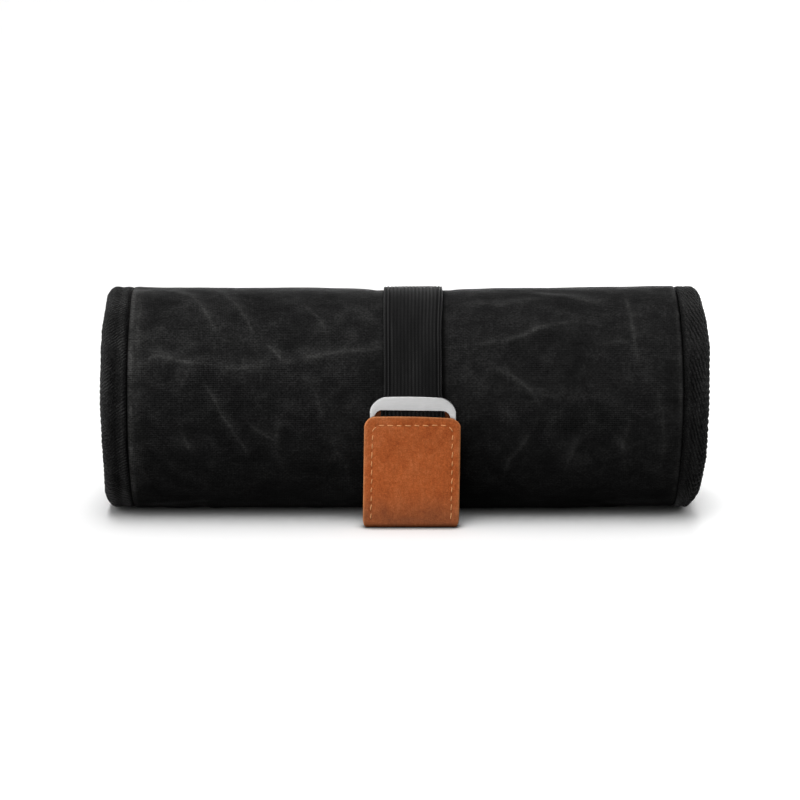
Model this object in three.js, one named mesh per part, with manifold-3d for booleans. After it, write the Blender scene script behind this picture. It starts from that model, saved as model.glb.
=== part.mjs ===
// Toiletry roll: a padded canvas panel rolled up on itself, bound along both
// ends with tape, held by an elastic strap that carries a metal ring and a
// leather pull tab. Millimetres, +Z up. The roll's axis runs along X, the tab
// hangs on the -Y side, and the origin is on the flat underside at mid-length.
import * as THREE from 'three';
import { mergeVertices } from 'three/addons/utils/BufferGeometryUtils.js';
import Module from 'manifold-3d';

const wasm = await Module();
wasm.setup();

// ---------------------------------------------------------------- dimensions
const ROLL_LENGTH = 258;        // end to end over the bindings
const AXIS_HEIGHT = 47.2;       // roll axis above the flat underside
const BINDING_WIDTH = 12;       // tape width seen on the outside
const BINDING_WALL = 1.1;       // tape thickness at the cut edge
const BINDING_PROUD = 0.6;      // tape above the canvas
const CANVAS_INNER = -1.6;      // inner face of the canvas, from the outer profile
const CANVAS_TONGUE = -1.0;     // canvas under the tape and under the strap
const LINING_OUTER = -1.9;      // outer face of the lining
const PANEL_THICK = 6.6;        // padded panel
const FLAP_THICK = 3.6;         // unpadded flap
const GAP = 0.3;                // clearance between neighbouring pieces
const STEP_DEG = 11;            // facet angle on the curved walls

// outer profile of the wound panel: angle (0 front, 90 top, 180 back, 270
// bottom, counted on through the turns) against radius
const PROFILE = [
  [150, 48.7], [420, 48.7], [450, 48.2], [480, 45.8], [512, 42.3], [560, 40.0],
  [620, 39.2], [690, 38.6], [740, 37.6], [800, 35.7], [850, 33.3], [900, 30.9],
  [960, 28.6], [1020, 25.7], [1090, 21.7],
];
const LENGTHS = [
  ['flap', 150, 226], ['base', 226, 314], ['front', 314, 380], ['top', 380, 446],
  ['back', 446, 515], ['inner_1', 515, 600], ['inner_2', 600, 690], ['inner_3', 690, 780],
  ['inner_4', 780, 870], ['inner_5', 870, 960], ['core', 960, 1080],
];

const STRAP_X = 4.0;            // strap, ring and tab sit this far right of mid-length
const STRAP_WIDTH = 25;
const STRAP_THICK = 1.6;
const STRAP_RADIUS = 48.7;      // inner face of the strap
const STRAP_FOLD = 72;          // angle of the strap's middle hinge
const STRAP_END = 11;           // angle where the strap leaves the roll
const CINCH_HALF = 23;          // half width of the trough the strap pulls in

const TAB_WIDTH = 41.8;
const TAB_TOP = 47.0;
const TAB_BOTTOM = 0.4;
const TAB_CORNER = 3.8;
const BACK_Y = [-48.9, -50.1];  // back leather
const END_Y = [-50.4, -51.6];   // end of the elastic
const RING_Y = [-51.9, -53.7];  // ring
const FRONT_Y = [-54.1, -55.5]; // front leather
const RING_WIDTH = 36.2;
const RING_TOP = 55.6;
const RING_BOTTOM = 43.8;
const RING_TOP_BAR = 6.4;
const RING_LOW_BAR = 2.6;
const RING_SIDE = 2.1;
const MAGNET_RADIUS = 9;
const MAGNET_Z = 24;
const KEEPER = [20, 18, 0.8];
const KEEPER_ANGLE = 331;

const ZIP_LENGTH = 216;
const ZIP_WIDTH = 6;
const ZIP_GROOVE = [222, 13, 2.4];
const ZIP_START = 96;           // slider at rest, at the closed end
const ZIPS = [['1', 'top', 413], ['2', 'inner_3', 735]];

// ------------------------------------------------------------------- helpers
function monotone(points) {
  const x = points.map((p) => p[0]);
  const y = points.map((p) => p[1]);
  const n = x.length;
  const h = [];
  const s = [];
  for (let i = 0; i < n - 1; i += 1) {
    h.push(x[i + 1] - x[i]);
    s.push((y[i + 1] - y[i]) / h[i]);
  }
  const d = new Array(n).fill(0);
  for (let i = 1; i < n - 1; i += 1) {
    if (s[i - 1] * s[i] > 0) {
      const w1 = 2 * h[i] + h[i - 1];
      const w2 = h[i] + 2 * h[i - 1];
      d[i] = (w1 + w2) / (w1 / s[i - 1] + w2 / s[i]);
    }
  }
  d[n - 1] = s[n - 2];
  return (v) => {
    let i = 0;
    while (i < n - 2 && v > x[i + 1]) i += 1;
    const t = (v - x[i]) / h[i];
    const t2 = t * t;
    const t3 = t2 * t;
    return (2 * t3 - 3 * t2 + 1) * y[i] + (t3 - 2 * t2 + t) * h[i] * d[i]
      + (-2 * t3 + 3 * t2) * y[i + 1] + (t3 - t2) * h[i] * d[i + 1];
  };
}
const radiusAt = monotone(PROFILE);
const rad = (deg) => (deg * Math.PI) / 180;

// point of the cross-section, as [y, z]
const polar = (deg, r) => [-r * Math.cos(rad(deg)), AXIS_HEIGHT + r * Math.sin(rad(deg))];

// a [y, z] outline swept along X from x0 to x1
function sweepX(outline, x0, x1) {
  const shape = new THREE.Shape(outline.map(([y, z]) => new THREE.Vector2(y, z)));
  const g = new THREE.ExtrudeGeometry(shape, { depth: x1 - x0, bevelEnabled: false, curveSegments: 1 });
  const turn = new THREE.Matrix4().set(0, 0, 1, x0, 1, 0, 0, 0, 0, 1, 0, 0, 0, 0, 0, 1);
  return g.applyMatrix4(turn);
}

// an [x, z] shape swept along Y from y0 (front) to y1 (back)
function sweepY(shape, y0, y1, segments = 6) {
  const g = new THREE.ExtrudeGeometry(shape, { depth: y1 - y0, bevelEnabled: false, curveSegments: segments });
  const turn = new THREE.Matrix4().set(1, 0, 0, 0, 0, 0, -1, y1, 0, 1, 0, 0, 0, 0, 0, 1);
  return g.applyMatrix4(turn);
}

// offset of the wound profile; the skin is flat underneath, its layers stacking
// up from z = 0, and the padding above it takes up the difference
function profilePoint(deg, offset) {
  const p = polar(deg, radiusAt(deg) + offset);
  if (deg > 360 || offset < -3) return p;
  return [p[0], Math.max(p[1], -offset, 0)];
}
function sectorOutline(a0, a1, outer, inner) {
  // every layer bends at the same angles, so that neighbouring walls stay parallel
  const angles = [a0];
  for (let a = Math.ceil((a0 + 2) / STEP_DEG) * STEP_DEG; a < a1 - 2; a += STEP_DEG) angles.push(a);
  angles.push(a1);
  const out = angles.map((a) => profilePoint(a, outer));
  const back = angles.map((a) => profilePoint(a, inner));
  return out.concat(back.reverse());
}
// arc outline at fixed radii
function arcOutline(a0, a1, r0, r1, n) {
  const out = [];
  const back = [];
  for (let i = 0; i <= n; i += 1) {
    const a = a0 + ((a1 - a0) * i) / n;
    out.push(polar(a, r1));
    back.push(polar(a, r0));
  }
  return out.concat(back.reverse());
}

function toSolid(geometry) {
  const g = geometry.clone();
  g.deleteAttribute('normal');
  g.deleteAttribute('uv');
  const m = mergeVertices(g, 1e-4);
  return new wasm.Manifold(new wasm.Mesh({
    numProp: 3,
    vertProperties: new Float32Array(m.attributes.position.array),
    triVerts: new Uint32Array(m.index.array),
  }));
}
function fromSolid(solid) {
  const m = solid.getMesh();
  const g = new THREE.BufferGeometry();
  g.setAttribute('position', new THREE.BufferAttribute(new Float32Array(m.vertProperties), 3));
  g.setIndex(new THREE.BufferAttribute(new Uint32Array(m.triVerts), 1));
  return g;
}
const join = (...gs) => fromSolid(gs.map(toSolid).reduce((a, b) => a.add(b)));
const cut = (g, ...tools) => fromSolid(tools.map(toSolid).reduce((a, b) => a.subtract(b), toSolid(g)));

// a box placed on the profile at an angle: dy along the wall, dr across it,
// from radius r0 (near the axis) to r0 + dr
function wallBox(deg, dx, dy, r0, dr, x = 0) {
  const g = new THREE.BoxGeometry(dx, dr, dy);
  const place = new THREE.Matrix4().makeRotationX(Math.PI - rad(deg));
  g.translate(0, r0 + dr / 2, 0);
  g.applyMatrix4(place);
  return g.translate(x, 0, AXIS_HEIGHT);
}

const roll = new THREE.Group();
function add(name, geometry, color, roughness, metalness = 0) {
  const mesh = new THREE.Mesh(geometry, new THREE.MeshStandardMaterial({ color, roughness, metalness }));
  mesh.name = name;
  roll.add(mesh);
  return mesh;
}

const CANVAS = [0x1d1c1c, 0.7];
const LINING = [0x55524a, 0.9];
const TAPE = [0x121212, 0.85];
const ELASTIC = [0x161616, 0.8];
const LEATHER = [0x8a4a20, 0.5];

// -------------------------------------------------------------- rolled panel
const HALF = ROLL_LENGTH / 2;
const TONGUE_X = HALF - BINDING_WALL - GAP;
const FACE_X = HALF - BINDING_WIDTH - GAP;
for (const [name, start, end] of LENGTHS) {
  const thick = name === 'flap' ? FLAP_THICK : PANEL_THICK;
  const trim = (GAP / 2 / radiusAt((start + end) / 2)) * (180 / Math.PI);
  const a0 = start + trim;
  const a1 = end - trim;

  const skin = sweepX(sectorOutline(a0, a1, CANVAS_TONGUE, CANVAS_INNER), -TONGUE_X, TONGUE_X);
  const face = sectorOutline(a0, a1, 0, CANVAS_INNER + 0.05);
  if (name === 'front' || name === 'top' || name === 'back') {
    add(`canvas_${name}`, join(
      skin,
      sweepX(face, -FACE_X, STRAP_X - CINCH_HALF),
      sweepX(face, STRAP_X + CINCH_HALF, FACE_X),
    ), ...CANVAS);
  } else {
    add(`canvas_${name}`, join(skin, sweepX(face, -FACE_X, FACE_X)), ...CANVAS);
  }

  let lining = sweepX(sectorOutline(a0, a1, LINING_OUTER, -thick), -TONGUE_X, TONGUE_X);
  if (name === 'front') {
    const r = radiusAt(KEEPER_ANGLE) + LINING_OUTER;
    lining = cut(lining, wallBox(KEEPER_ANGLE, KEEPER[0] + 0.6, KEEPER[1] + 0.6, r - 2.6, 4, STRAP_X));
  }
  for (const [, where, deg] of ZIPS) {
    if (where === name) {
      const r = radiusAt(deg) - thick;
      lining = cut(lining, wallBox(deg, ZIP_GROOVE[0], ZIP_GROOVE[1], r - 3, 3 + ZIP_GROOVE[2]));
    }
  }
  add(`lining_${name}`, lining, ...LINING);

  for (const [side, x0, x1, c0, c1] of [
    ['left', -HALF, -HALF + BINDING_WIDTH, -HALF + BINDING_WALL, -HALF + BINDING_WIDTH + 1],
    ['right', HALF - BINDING_WIDTH, HALF, HALF - BINDING_WIDTH - 1, HALF - BINDING_WALL],
  ]) {
    const whole = sweepX(sectorOutline(a0, a1, BINDING_PROUD, -thick - 1.1), x0, x1);
    const core = sweepX(sectorOutline(a0 - 0.6, a1 + 0.6, CANVAS_TONGUE + GAP, -thick - GAP), c0, c1);
    add(`binding_${side}_${name}`, cut(whole, core), ...TAPE);
  }
}
add('flap_edge_binding', sweepX(sectorOutline(148.2, 149.8, BINDING_PROUD, -FLAP_THICK - 0.6), -HALF, HALF), ...TAPE);
add('inner_edge_binding', sweepX(sectorOutline(1080.6, 1085, BINDING_PROUD, -PANEL_THICK - 1.1), -HALF, HALF), ...TAPE);

add('keeper_plate', wallBox(KEEPER_ANGLE, KEEPER[0], KEEPER[1],
  radiusAt(KEEPER_ANGLE) + LINING_OUTER - 2.2, KEEPER[2], STRAP_X), 0x8d8f92, 0.4, 1);

// ------------------------------------------------------------------ strap
const STRAP_X0 = STRAP_X - STRAP_WIDTH / 2;
const STRAP_X1 = STRAP_X + STRAP_WIDTH / 2;
add('strap_back', sweepX(arcOutline(147.6, STRAP_FOLD + 0.2, STRAP_RADIUS + 0.3, STRAP_RADIUS + STRAP_THICK, 8), STRAP_X0, STRAP_X1), ...ELASTIC);
add('strap_front', sweepX(arcOutline(STRAP_FOLD - 0.2, STRAP_END, STRAP_RADIUS, STRAP_RADIUS + STRAP_THICK, 7), STRAP_X0, STRAP_X1), ...ELASTIC);
const endShape = new THREE.Shape();
endShape.moveTo(STRAP_X0, 41.5).lineTo(STRAP_X1, 41.5).lineTo(STRAP_X1, 56.2).lineTo(STRAP_X0, 56.2).closePath();
add('strap_end', sweepY(endShape, END_Y[1], END_Y[0]), ...ELASTIC);

// -------------------------------------------------------------- ring and tab
function roundedRect(target, x0, z0, x1, z1, low, high) {
  target.moveTo(x0 + low, z0);
  target.lineTo(x1 - low, z0).absarc(x1 - low, z0 + low, low, -Math.PI / 2, 0);
  target.lineTo(x1, z1 - high).absarc(x1 - high, z1 - high, high, 0, Math.PI / 2);
  target.lineTo(x0 + high, z1).absarc(x0 + high, z1 - high, high, Math.PI / 2, Math.PI);
  target.lineTo(x0, z0 + low).absarc(x0 + low, z0 + low, low, Math.PI, Math.PI * 1.5);
  return target;
}
const RX0 = STRAP_X - RING_WIDTH / 2;
const RX1 = STRAP_X + RING_WIDTH / 2;
const ringShape = roundedRect(new THREE.Shape(), RX0, RING_BOTTOM, RX1, RING_TOP, 2, 5.6);
ringShape.holes.push(roundedRect(new THREE.Path(), RX0 + RING_SIDE, RING_BOTTOM + RING_LOW_BAR,
  RX1 - RING_SIDE, RING_TOP - RING_TOP_BAR, 0.8, 0.8));
add('ring', sweepY(ringShape, RING_Y[1], RING_Y[0]), 0xb9bbbd, 0.32, 1);

const TX0 = STRAP_X - TAB_WIDTH / 2;
const TX1 = STRAP_X + TAB_WIDTH / 2;
add('tab_front', join(
  sweepY(roundedRect(new THREE.Shape(), TX0, TAB_BOTTOM, TX1, TAB_TOP, 1.2, TAB_CORNER), FRONT_Y[1], FRONT_Y[0]),
  sweepY(roundedRect(new THREE.Shape(), TX0, TAB_BOTTOM, TX1, TAB_BOTTOM + 1.5, 0.7, 0.7), FRONT_Y[1] + 0.2, BACK_Y[0]),
), ...LEATHER);
add('tab_back', join(
  sweepY(roundedRect(new THREE.Shape(), TX0, TAB_BOTTOM + 1.8, TX1, TAB_TOP - 0.6, 1, TAB_CORNER), BACK_Y[1], BACK_Y[0]),
  sweepY(roundedRect(new THREE.Shape(), STRAP_X - 16.6, 30, STRAP_X + 16.6, 52, 1, 3), BACK_Y[1], BACK_Y[0]),
), ...LEATHER);
const magnet = new THREE.CylinderGeometry(MAGNET_RADIUS, MAGNET_RADIUS, 2.8, 28);
magnet.translate(STRAP_X, (END_Y[0] + RING_Y[1]) / 2, MAGNET_Z);
add('tab_magnet', magnet, 0x77797c, 0.35, 1);

// -------------------------------------------------------------------- zips
for (const [id, where, deg] of ZIPS) {
  const thick = where === 'flap' ? FLAP_THICK : PANEL_THICK;
  const r = radiusAt(deg) - thick;
  add(`zip_chain_${id}`, wallBox(deg, ZIP_LENGTH, ZIP_WIDTH, r + 0.5, 1.6), 0x2a2a2a, 0.5, 0.6);
  // slider body with a flat pull lying along the chain
  const body = wallBox(deg, 9, 7, r - 1.3, 1.5, ZIP_START);
  const bridge = wallBox(deg, 4, 3, r - 2.2, 1.2, ZIP_START - 1);
  const pull = wallBox(deg, 20, 5, r - 2.4, 0.9, ZIP_START - 10);
  add(`zip_slider_${id}`, join(body, bridge, pull), 0x9a9b9d, 0.35, 1);
}

export default roll;
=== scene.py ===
import bpy
import math
import numpy as np
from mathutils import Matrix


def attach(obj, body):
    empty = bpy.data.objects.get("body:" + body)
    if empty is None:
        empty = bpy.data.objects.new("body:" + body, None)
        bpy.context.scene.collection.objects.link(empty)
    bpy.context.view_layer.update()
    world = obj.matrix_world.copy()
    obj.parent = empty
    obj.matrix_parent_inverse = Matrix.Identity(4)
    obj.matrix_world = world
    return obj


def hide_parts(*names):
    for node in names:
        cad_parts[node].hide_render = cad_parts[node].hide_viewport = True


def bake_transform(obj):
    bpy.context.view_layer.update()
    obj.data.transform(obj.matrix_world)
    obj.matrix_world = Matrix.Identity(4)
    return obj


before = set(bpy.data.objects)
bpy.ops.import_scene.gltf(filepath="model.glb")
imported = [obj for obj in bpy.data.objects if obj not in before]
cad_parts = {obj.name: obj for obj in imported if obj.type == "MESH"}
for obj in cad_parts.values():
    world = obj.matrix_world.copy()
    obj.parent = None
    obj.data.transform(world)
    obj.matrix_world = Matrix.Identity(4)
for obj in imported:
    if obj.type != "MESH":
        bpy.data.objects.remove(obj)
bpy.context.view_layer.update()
scene = bpy.context.scene

# ------------------------------------------------------------------ driving dimensions (mm)
HALF = 129.0            # half the roll's length
AXIS = 47.2             # height of the roll's axis
SEAM = 117.0            # where the binding tape's edge lies, from mid-length
STRAP_X = 4.0
STRAP_HALF = 12.5
PROFILE = [(150, 48.7), (420, 48.7), (450, 48.2), (480, 45.8), (512, 42.3), (560, 40.0), (620, 39.2), (690, 38.6),
           (740, 37.6), (800, 35.7), (850, 33.3), (900, 30.9), (960, 28.6), (1020, 25.7), (1090, 21.7)]
LENGTHS = [("flap", 150, 226), ("base", 226, 314), ("front", 314, 380), ("top", 380, 446), ("back", 446, 515),
           ("inner_1", 515, 600), ("inner_2", 600, 690), ("inner_3", 690, 780), ("inner_4", 780, 870),
           ("inner_5", 870, 960), ("core", 960, 1080)]


def pchip(points):
    """Monotone cubic through the points, as a function of an array."""
    x = np.array([p[0] for p in points], float)
    y = np.array([p[1] for p in points], float)
    h, s = np.diff(x), np.diff(y) / np.diff(x)
    d = np.zeros(len(x))
    for i in range(1, len(x) - 1):
        if s[i - 1] * s[i] > 0:
            w1, w2 = 2 * h[i] + h[i - 1], h[i] + 2 * h[i - 1]
            d[i] = (w1 + w2) / (w1 / s[i - 1] + w2 / s[i])
    d[-1] = s[-1]

    def f(v):
        v = np.asarray(v, float)
        i = np.clip(np.searchsorted(x, v, side="right") - 1, 0, len(x) - 2)
        t = (v - x[i]) / h[i]
        return ((2 * t ** 3 - 3 * t ** 2 + 1) * y[i] + (t ** 3 - 2 * t ** 2 + t) * h[i] * d[i]
                + (-2 * t ** 3 + 3 * t ** 2) * y[i + 1] + (t ** 3 - t ** 2) * h[i] * d[i + 1])
    return f


radius = pchip(PROFILE)
_phi = np.arange(150, 1090.01, 0.25)
_r = radius(_phi)
_arc = np.concatenate([[0], np.cumsum(np.hypot(np.diff(_r), _r[:-1] * np.radians(0.25)))])


def arc(phi):
    """Distance along the panel from the flap edge, in mm."""
    return np.interp(phi, _phi, _arc)


def arc_phi(s):
    return np.interp(s, _arc, _phi)


def smooth(a, b, v):
    t = np.clip((np.asarray(v, float) - a) / (b - a), 0, 1)
    return t * t * (3 - 2 * t)


def bump(v, width):
    return np.exp(-(np.asarray(v, float) / width) ** 2)


def thick(phi):
    """Panel thickness: the flap is thinner."""
    return 3.6 + 3.0 * smooth(221, 236, phi)


def place(x, phi, off):
    """Points (mm) on the rolled panel at a height off above its nominal outer face."""
    x, phi, off = np.broadcast_arrays(np.asarray(x, float), np.asarray(phi, float), np.asarray(off, float))
    r = radius(phi) + off
    t = np.radians(phi)
    y, z = -r * np.cos(t), AXIS + r * np.sin(t)
    floor = np.maximum(-off, 0.0)
    flat = 0.5 * (z + floor + np.sqrt((z - floor) ** 2 + 0.5)) - 0.12
    z = np.where((phi <= 365) & (off > -4.2), flat, z)
    return np.stack([x, y, z], -1)


class Noise:
    """Smooth lattice noise in two dimensions, about -1 to 1, the same at each run."""

    def __init__(self, seed):
        self.g = np.random.RandomState(seed).uniform(-1, 1, (64, 64))

    def __call__(self, u, v):
        u, v = np.broadcast_arrays(np.asarray(u, float), np.asarray(v, float))
        i, j = np.floor(u).astype(int), np.floor(v).astype(int)
        a, b = u - i, v - j
        a, b = a * a * a * (a * (a * 6 - 15) + 10), b * b * b * (b * (b * 6 - 15) + 10)
        g = self.g
        i0, i1, j0, j1 = i % 64, (i + 1) % 64, j % 64, (j + 1) % 64
        return ((g[i0, j0] * (1 - a) + g[i1, j0] * a) * (1 - b) + (g[i0, j1] * (1 - a) + g[i1, j1] * a) * b)


# ------------------------------------------------------------------ mesh helpers
def new_object(name, verts_mm, quads, uv=None, attributes=None, normals=None, tris=None):
    """A smooth mesh from points in mm; uv is per point, in metres."""
    V = np.asarray(verts_mm, np.float64).reshape(-1, 3) * 0.001
    faces = [np.asarray(quads, np.int32).reshape(-1, 4)] if quads is not None and len(quads) else []
    me = bpy.data.meshes.new(name)
    me.vertices.add(len(V))
    me.vertices.foreach_set("co", V.astype(np.float32).ravel())
    loops, starts, at = [], [], 0
    for f in faces:
        loops.append(f.ravel())
        starts.append(at + np.arange(len(f)) * 4)
        at += f.size
    if tris is not None and len(tris):
        f = np.asarray(tris, np.int32).reshape(-1, 3)
        loops.append(f.ravel())
        starts.append(at + np.arange(len(f)) * 3)
        at += f.size
    loops, starts = np.concatenate(loops), np.concatenate(starts)
    me.loops.add(len(loops))
    me.loops.foreach_set("vertex_index", loops.astype(np.int32))
    me.polygons.add(len(starts))
    me.polygons.foreach_set("loop_start", starts.astype(np.int32))
    me.update(calc_edges=True)
    me.polygons.foreach_set("use_smooth", np.ones(len(starts), bool))
    if uv is not None:
        layer = me.uv_layers.new(name="UVMap")
        layer.data.foreach_set("uv", np.asarray(uv, np.float32).reshape(-1, 2)[loops].ravel())
    for key, value in (attributes or {}).items():
        a = me.attributes.new(key, "FLOAT", "POINT")
        a.data.foreach_set("value", np.asarray(value, np.float32).ravel())
    if normals is not None:
        n = np.asarray(normals, float).reshape(-1, 3)
        me.normals_split_custom_set_from_vertices(n.tolist())
    me.update()
    o = bpy.data.objects.new(name, me)
    scene.collection.objects.link(o)
    return o


def grid_quads(n, m, base=0, flip=False):
    """Quads of an n by m grid of points."""
    i, j = np.meshgrid(np.arange(n - 1), np.arange(m - 1), indexing="ij")
    a = base + i * m + j
    q = np.stack([a, a + m, a + m + 1, a + 1], -1).reshape(-1, 4)
    return q[:, ::-1] if flip else q


def grid_normals(P, flip=False):
    """Unit normals of a grid of points, from central differences."""
    du = np.gradient(P, axis=0)
    dv = np.gradient(P, axis=1)
    n = np.cross(du, dv)
    n /= np.maximum(np.linalg.norm(n, axis=-1, keepdims=True), 1e-12)
    return -n if flip else n


def slab(name, outer, inner, uv=None, attributes=None, flip=False, normals=None):
    """A closed sheet between two grids of points; normals is a pair of grids for the two faces."""
    n, m = outer.shape[:2]
    V = np.concatenate([outer.reshape(-1, 3), inner.reshape(-1, 3)])
    k = n * m
    q = [grid_quads(n, m, 0, flip), grid_quads(n, m, k, not flip)]
    ring = np.concatenate([np.arange(m - 1), np.arange(n - 1) * m + m - 1, (n - 1) * m + np.arange(m - 1, 0, -1),
                           np.arange(n - 1, 0, -1) * m])
    nxt = np.roll(ring, -1)
    rim = np.stack([ring, nxt, nxt + k, ring + k], -1)
    q.append(rim[:, ::-1] if flip else rim)
    if uv is not None:
        uv = np.concatenate([uv.reshape(-1, 2), uv.reshape(-1, 2)])
    att = {key: np.concatenate([v[0].ravel(), v[1].ravel()]) if isinstance(v, tuple) else np.concatenate([v.ravel(), v.ravel()])
           for key, v in (attributes or {}).items()}
    nn = None
    if normals is not None:
        nn = np.concatenate([normals[0].reshape(-1, 3), normals[1].reshape(-1, 3)])
    return new_object(name, V, np.concatenate(q), uv, att, nn)


# ------------------------------------------------------------------ camera, floor and light
IMAGE = 800
CAM_ELEVATION = 9.0
CAM_DISTANCE = 1480.0
CAM_AIM = np.array([-1.75, 0.0, AXIS - 1.5])
CAM_LENS = 152.4
_e = math.radians(CAM_ELEVATION)
CAM_BACK = np.array([0.0, -math.cos(_e), math.sin(_e)])
CAM_UP = np.array([0.0, math.sin(_e), math.cos(_e)])
CAM_AT = CAM_AIM + CAM_BACK * CAM_DISTANCE

cam_data = bpy.data.cameras.new("camera")
cam_data.lens = CAM_LENS
cam_data.sensor_width = 36.0
cam_data.clip_start = 0.01
cam_data.clip_end = 100.0
cam = bpy.data.objects.new("camera", cam_data)
cam.location = CAM_AT * 0.001
cam.rotation_euler = (math.radians(90 - CAM_ELEVATION), 0, 0)
scene.collection.objects.link(cam)
scene.camera = cam


def pixel_to_roll(px, py, r=48.7):
    """(x, phi) where the line of sight through a picture point meets a cylinder of radius r about the roll's axis."""
    px, py = np.asarray(px, float), np.asarray(py, float)
    k = 36.0 / CAM_LENS / IMAGE
    d = (-CAM_BACK[None, :] + ((px - IMAGE / 2) * k)[:, None] * np.array([1.0, 0, 0])[None, :]
         - ((py - IMAGE / 2) * k)[:, None] * CAM_UP[None, :])
    oy, oz = CAM_AT[1], CAM_AT[2] - AXIS
    a = d[:, 1] ** 2 + d[:, 2] ** 2
    b = oy * d[:, 1] + oz * d[:, 2]
    c = oy ** 2 + oz ** 2 - r ** 2
    disc = np.maximum(b * b - a * c, 0)
    t = (-b - np.sqrt(disc)) / a
    x = CAM_AT[0] + t * d[:, 0]
    y, z = oy + t * d[:, 1], oz + t * d[:, 2]
    return x, np.degrees(np.arctan2(z, -y))


# ------------------------------------------------------------------ floor and light
def make_floor():
    me = bpy.data.meshes.new("floor")
    s = 14.0
    me.from_pydata([(-s, -s, 0), (s, -s, 0), (s, s, 0), (-s, s, 0)], [], [(0, 1, 2, 3)])
    o = bpy.data.objects.new("floor", me)
    o.location = (0, 0, -0.00035)
    scene.collection.objects.link(o)
    m = bpy.data.materials.new("floor")
    m.use_nodes = True
    t = m.node_tree
    b = t.nodes["Principled BSDF"]
    b.inputs["Roughness"].default_value = 0.9
    b.inputs["Specular IOR Level"].default_value = 0.0
    n = t.nodes.new("ShaderNodeTexNoise")
    n.inputs["Scale"].default_value = 3.0
    r = t.nodes.new("ShaderNodeValToRGB")
    r.color_ramp.elements[0].color = (0.945, 0.945, 0.945, 1)
    r.color_ramp.elements[1].color = (0.965, 0.965, 0.965, 1)
    # the sweep is pale to look at, and throws little light back up under the roll
    p = t.nodes.new("ShaderNodeLightPath")
    x = t.nodes.new("ShaderNodeMix")
    x.data_type = "RGBA"
    x.inputs[7].default_value = (0.02, 0.02, 0.02, 1)
    t.links.new(p.outputs["Is Diffuse Ray"], x.inputs[0])
    # and glows a little beyond the roll's right end, where its overhang would shade it
    pos = t.nodes.new("ShaderNodeSeparateXYZ")
    t.links.new(t.nodes.new("ShaderNodeNewGeometry").outputs["Position"], pos.inputs[0])
    g = t.nodes.new("ShaderNodeMapRange")
    g.interpolation_type = "SMOOTHSTEP"
    for k, value in ((1, 0.119), (2, 0.130), (3, 0.0), (4, 0.23)):
        g.inputs[k].default_value = value
    t.links.new(pos.outputs[0], g.inputs[0])
    wide = t.nodes.new("ShaderNodeMapRange")               # behind the roll it comes in more gently
    wide.interpolation_type = "SMOOTHSTEP"
    for k, value in ((1, 0.065), (2, 0.135), (3, 0.0), (4, 0.23)):
        wide.inputs[k].default_value = value
    t.links.new(pos.outputs[0], wide.inputs[0])
    rear = t.nodes.new("ShaderNodeMapRange")
    rear.interpolation_type = "SMOOTHSTEP"
    for k, value in ((1, 0.03), (2, 0.09), (3, 0.0), (4, 1.0)):
        rear.inputs[k].default_value = value
    t.links.new(pos.outputs[1], rear.inputs[0])
    both = t.nodes.new("ShaderNodeMix")
    both.data_type = "FLOAT"
    t.links.new(rear.outputs[0], both.inputs[0])
    t.links.new(g.outputs[0], both.inputs[2])
    t.links.new(wide.outputs[0], both.inputs[3])
    off = t.nodes.new("ShaderNodeMath")
    off.operation = "MULTIPLY_ADD"
    off.inputs[1].default_value = -1.0
    off.inputs[2].default_value = 1.0
    t.links.new(p.outputs["Is Diffuse Ray"], off.inputs[0])
    glow = t.nodes.new("ShaderNodeMath")
    glow.operation = "MULTIPLY"
    t.links.new(both.outputs[0], glow.inputs[0])
    t.links.new(off.outputs[0], glow.inputs[1])
    b.inputs["Emission Color"].default_value = (1, 1, 1, 1)
    t.links.new(glow.outputs[0], b.inputs["Emission Strength"])
    t.links.new(n.outputs["Fac"], r.inputs["Fac"])
    t.links.new(r.outputs["Color"], x.inputs[6])
    # painted contact shade: darker where something all but touches it
    ao = t.nodes.new("ShaderNodeAmbientOcclusion")
    ao.samples = 12
    ao.inputs["Distance"].default_value = 0.03
    near = t.nodes.new("ShaderNodeMapRange")
    for k, value in ((1, 0.0), (2, 0.26), (3, 0.17), (4, 1.0)):
        near.inputs[k].default_value = value
    t.links.new(ao.outputs["AO"], near.inputs[0])
    # and painted contact shade round the foot of the tab, in front of the roll
    foot = t.nodes.new("ShaderNodeAmbientOcclusion")
    foot.samples = 12
    foot.inputs["Distance"].default_value = 0.0075
    by = t.nodes.new("ShaderNodeMapRange")
    for k, value in ((1, 0.50), (2, 0.92), (3, 0.20), (4, 1.0)):
        by.inputs[k].default_value = value
    t.links.new(foot.outputs["AO"], by.inputs[0])
    behind = t.nodes.new("ShaderNodeMapRange")
    behind.interpolation_type = "SMOOTHSTEP"
    for k, value in ((1, -0.038), (2, -0.030), (3, 0.0), (4, 1.0)):
        behind.inputs[k].default_value = value
    t.links.new(pos.outputs[1], behind.inputs[0])
    most = t.nodes.new("ShaderNodeMath")
    most.operation = "MAXIMUM"
    t.links.new(by.outputs[0], most.inputs[0])
    t.links.new(behind.outputs[0], most.inputs[1])
    shade = t.nodes.new("ShaderNodeMath")
    shade.operation = "MULTIPLY"
    t.links.new(near.outputs[0], shade.inputs[0])
    t.links.new(most.outputs[0], shade.inputs[1])
    touch = t.nodes.new("ShaderNodeMix")
    touch.data_type = "RGBA"
    touch.inputs[6].default_value = (0, 0, 0, 1)
    t.links.new(shade.outputs[0], touch.inputs[0])
    t.links.new(x.outputs[2], touch.inputs[7])
    t.links.new(touch.outputs[2], b.inputs["Base Color"])
    me.materials.append(m)
    return o


floor_object = make_floor()

world = bpy.data.worlds.new("studio")
scene.world = world
world.use_nodes = True
world.node_tree.nodes["Background"].inputs["Color"].default_value = (1.0, 1.0, 1.0, 1)
world.node_tree.nodes["Background"].inputs["Strength"].default_value = 0.30


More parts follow.
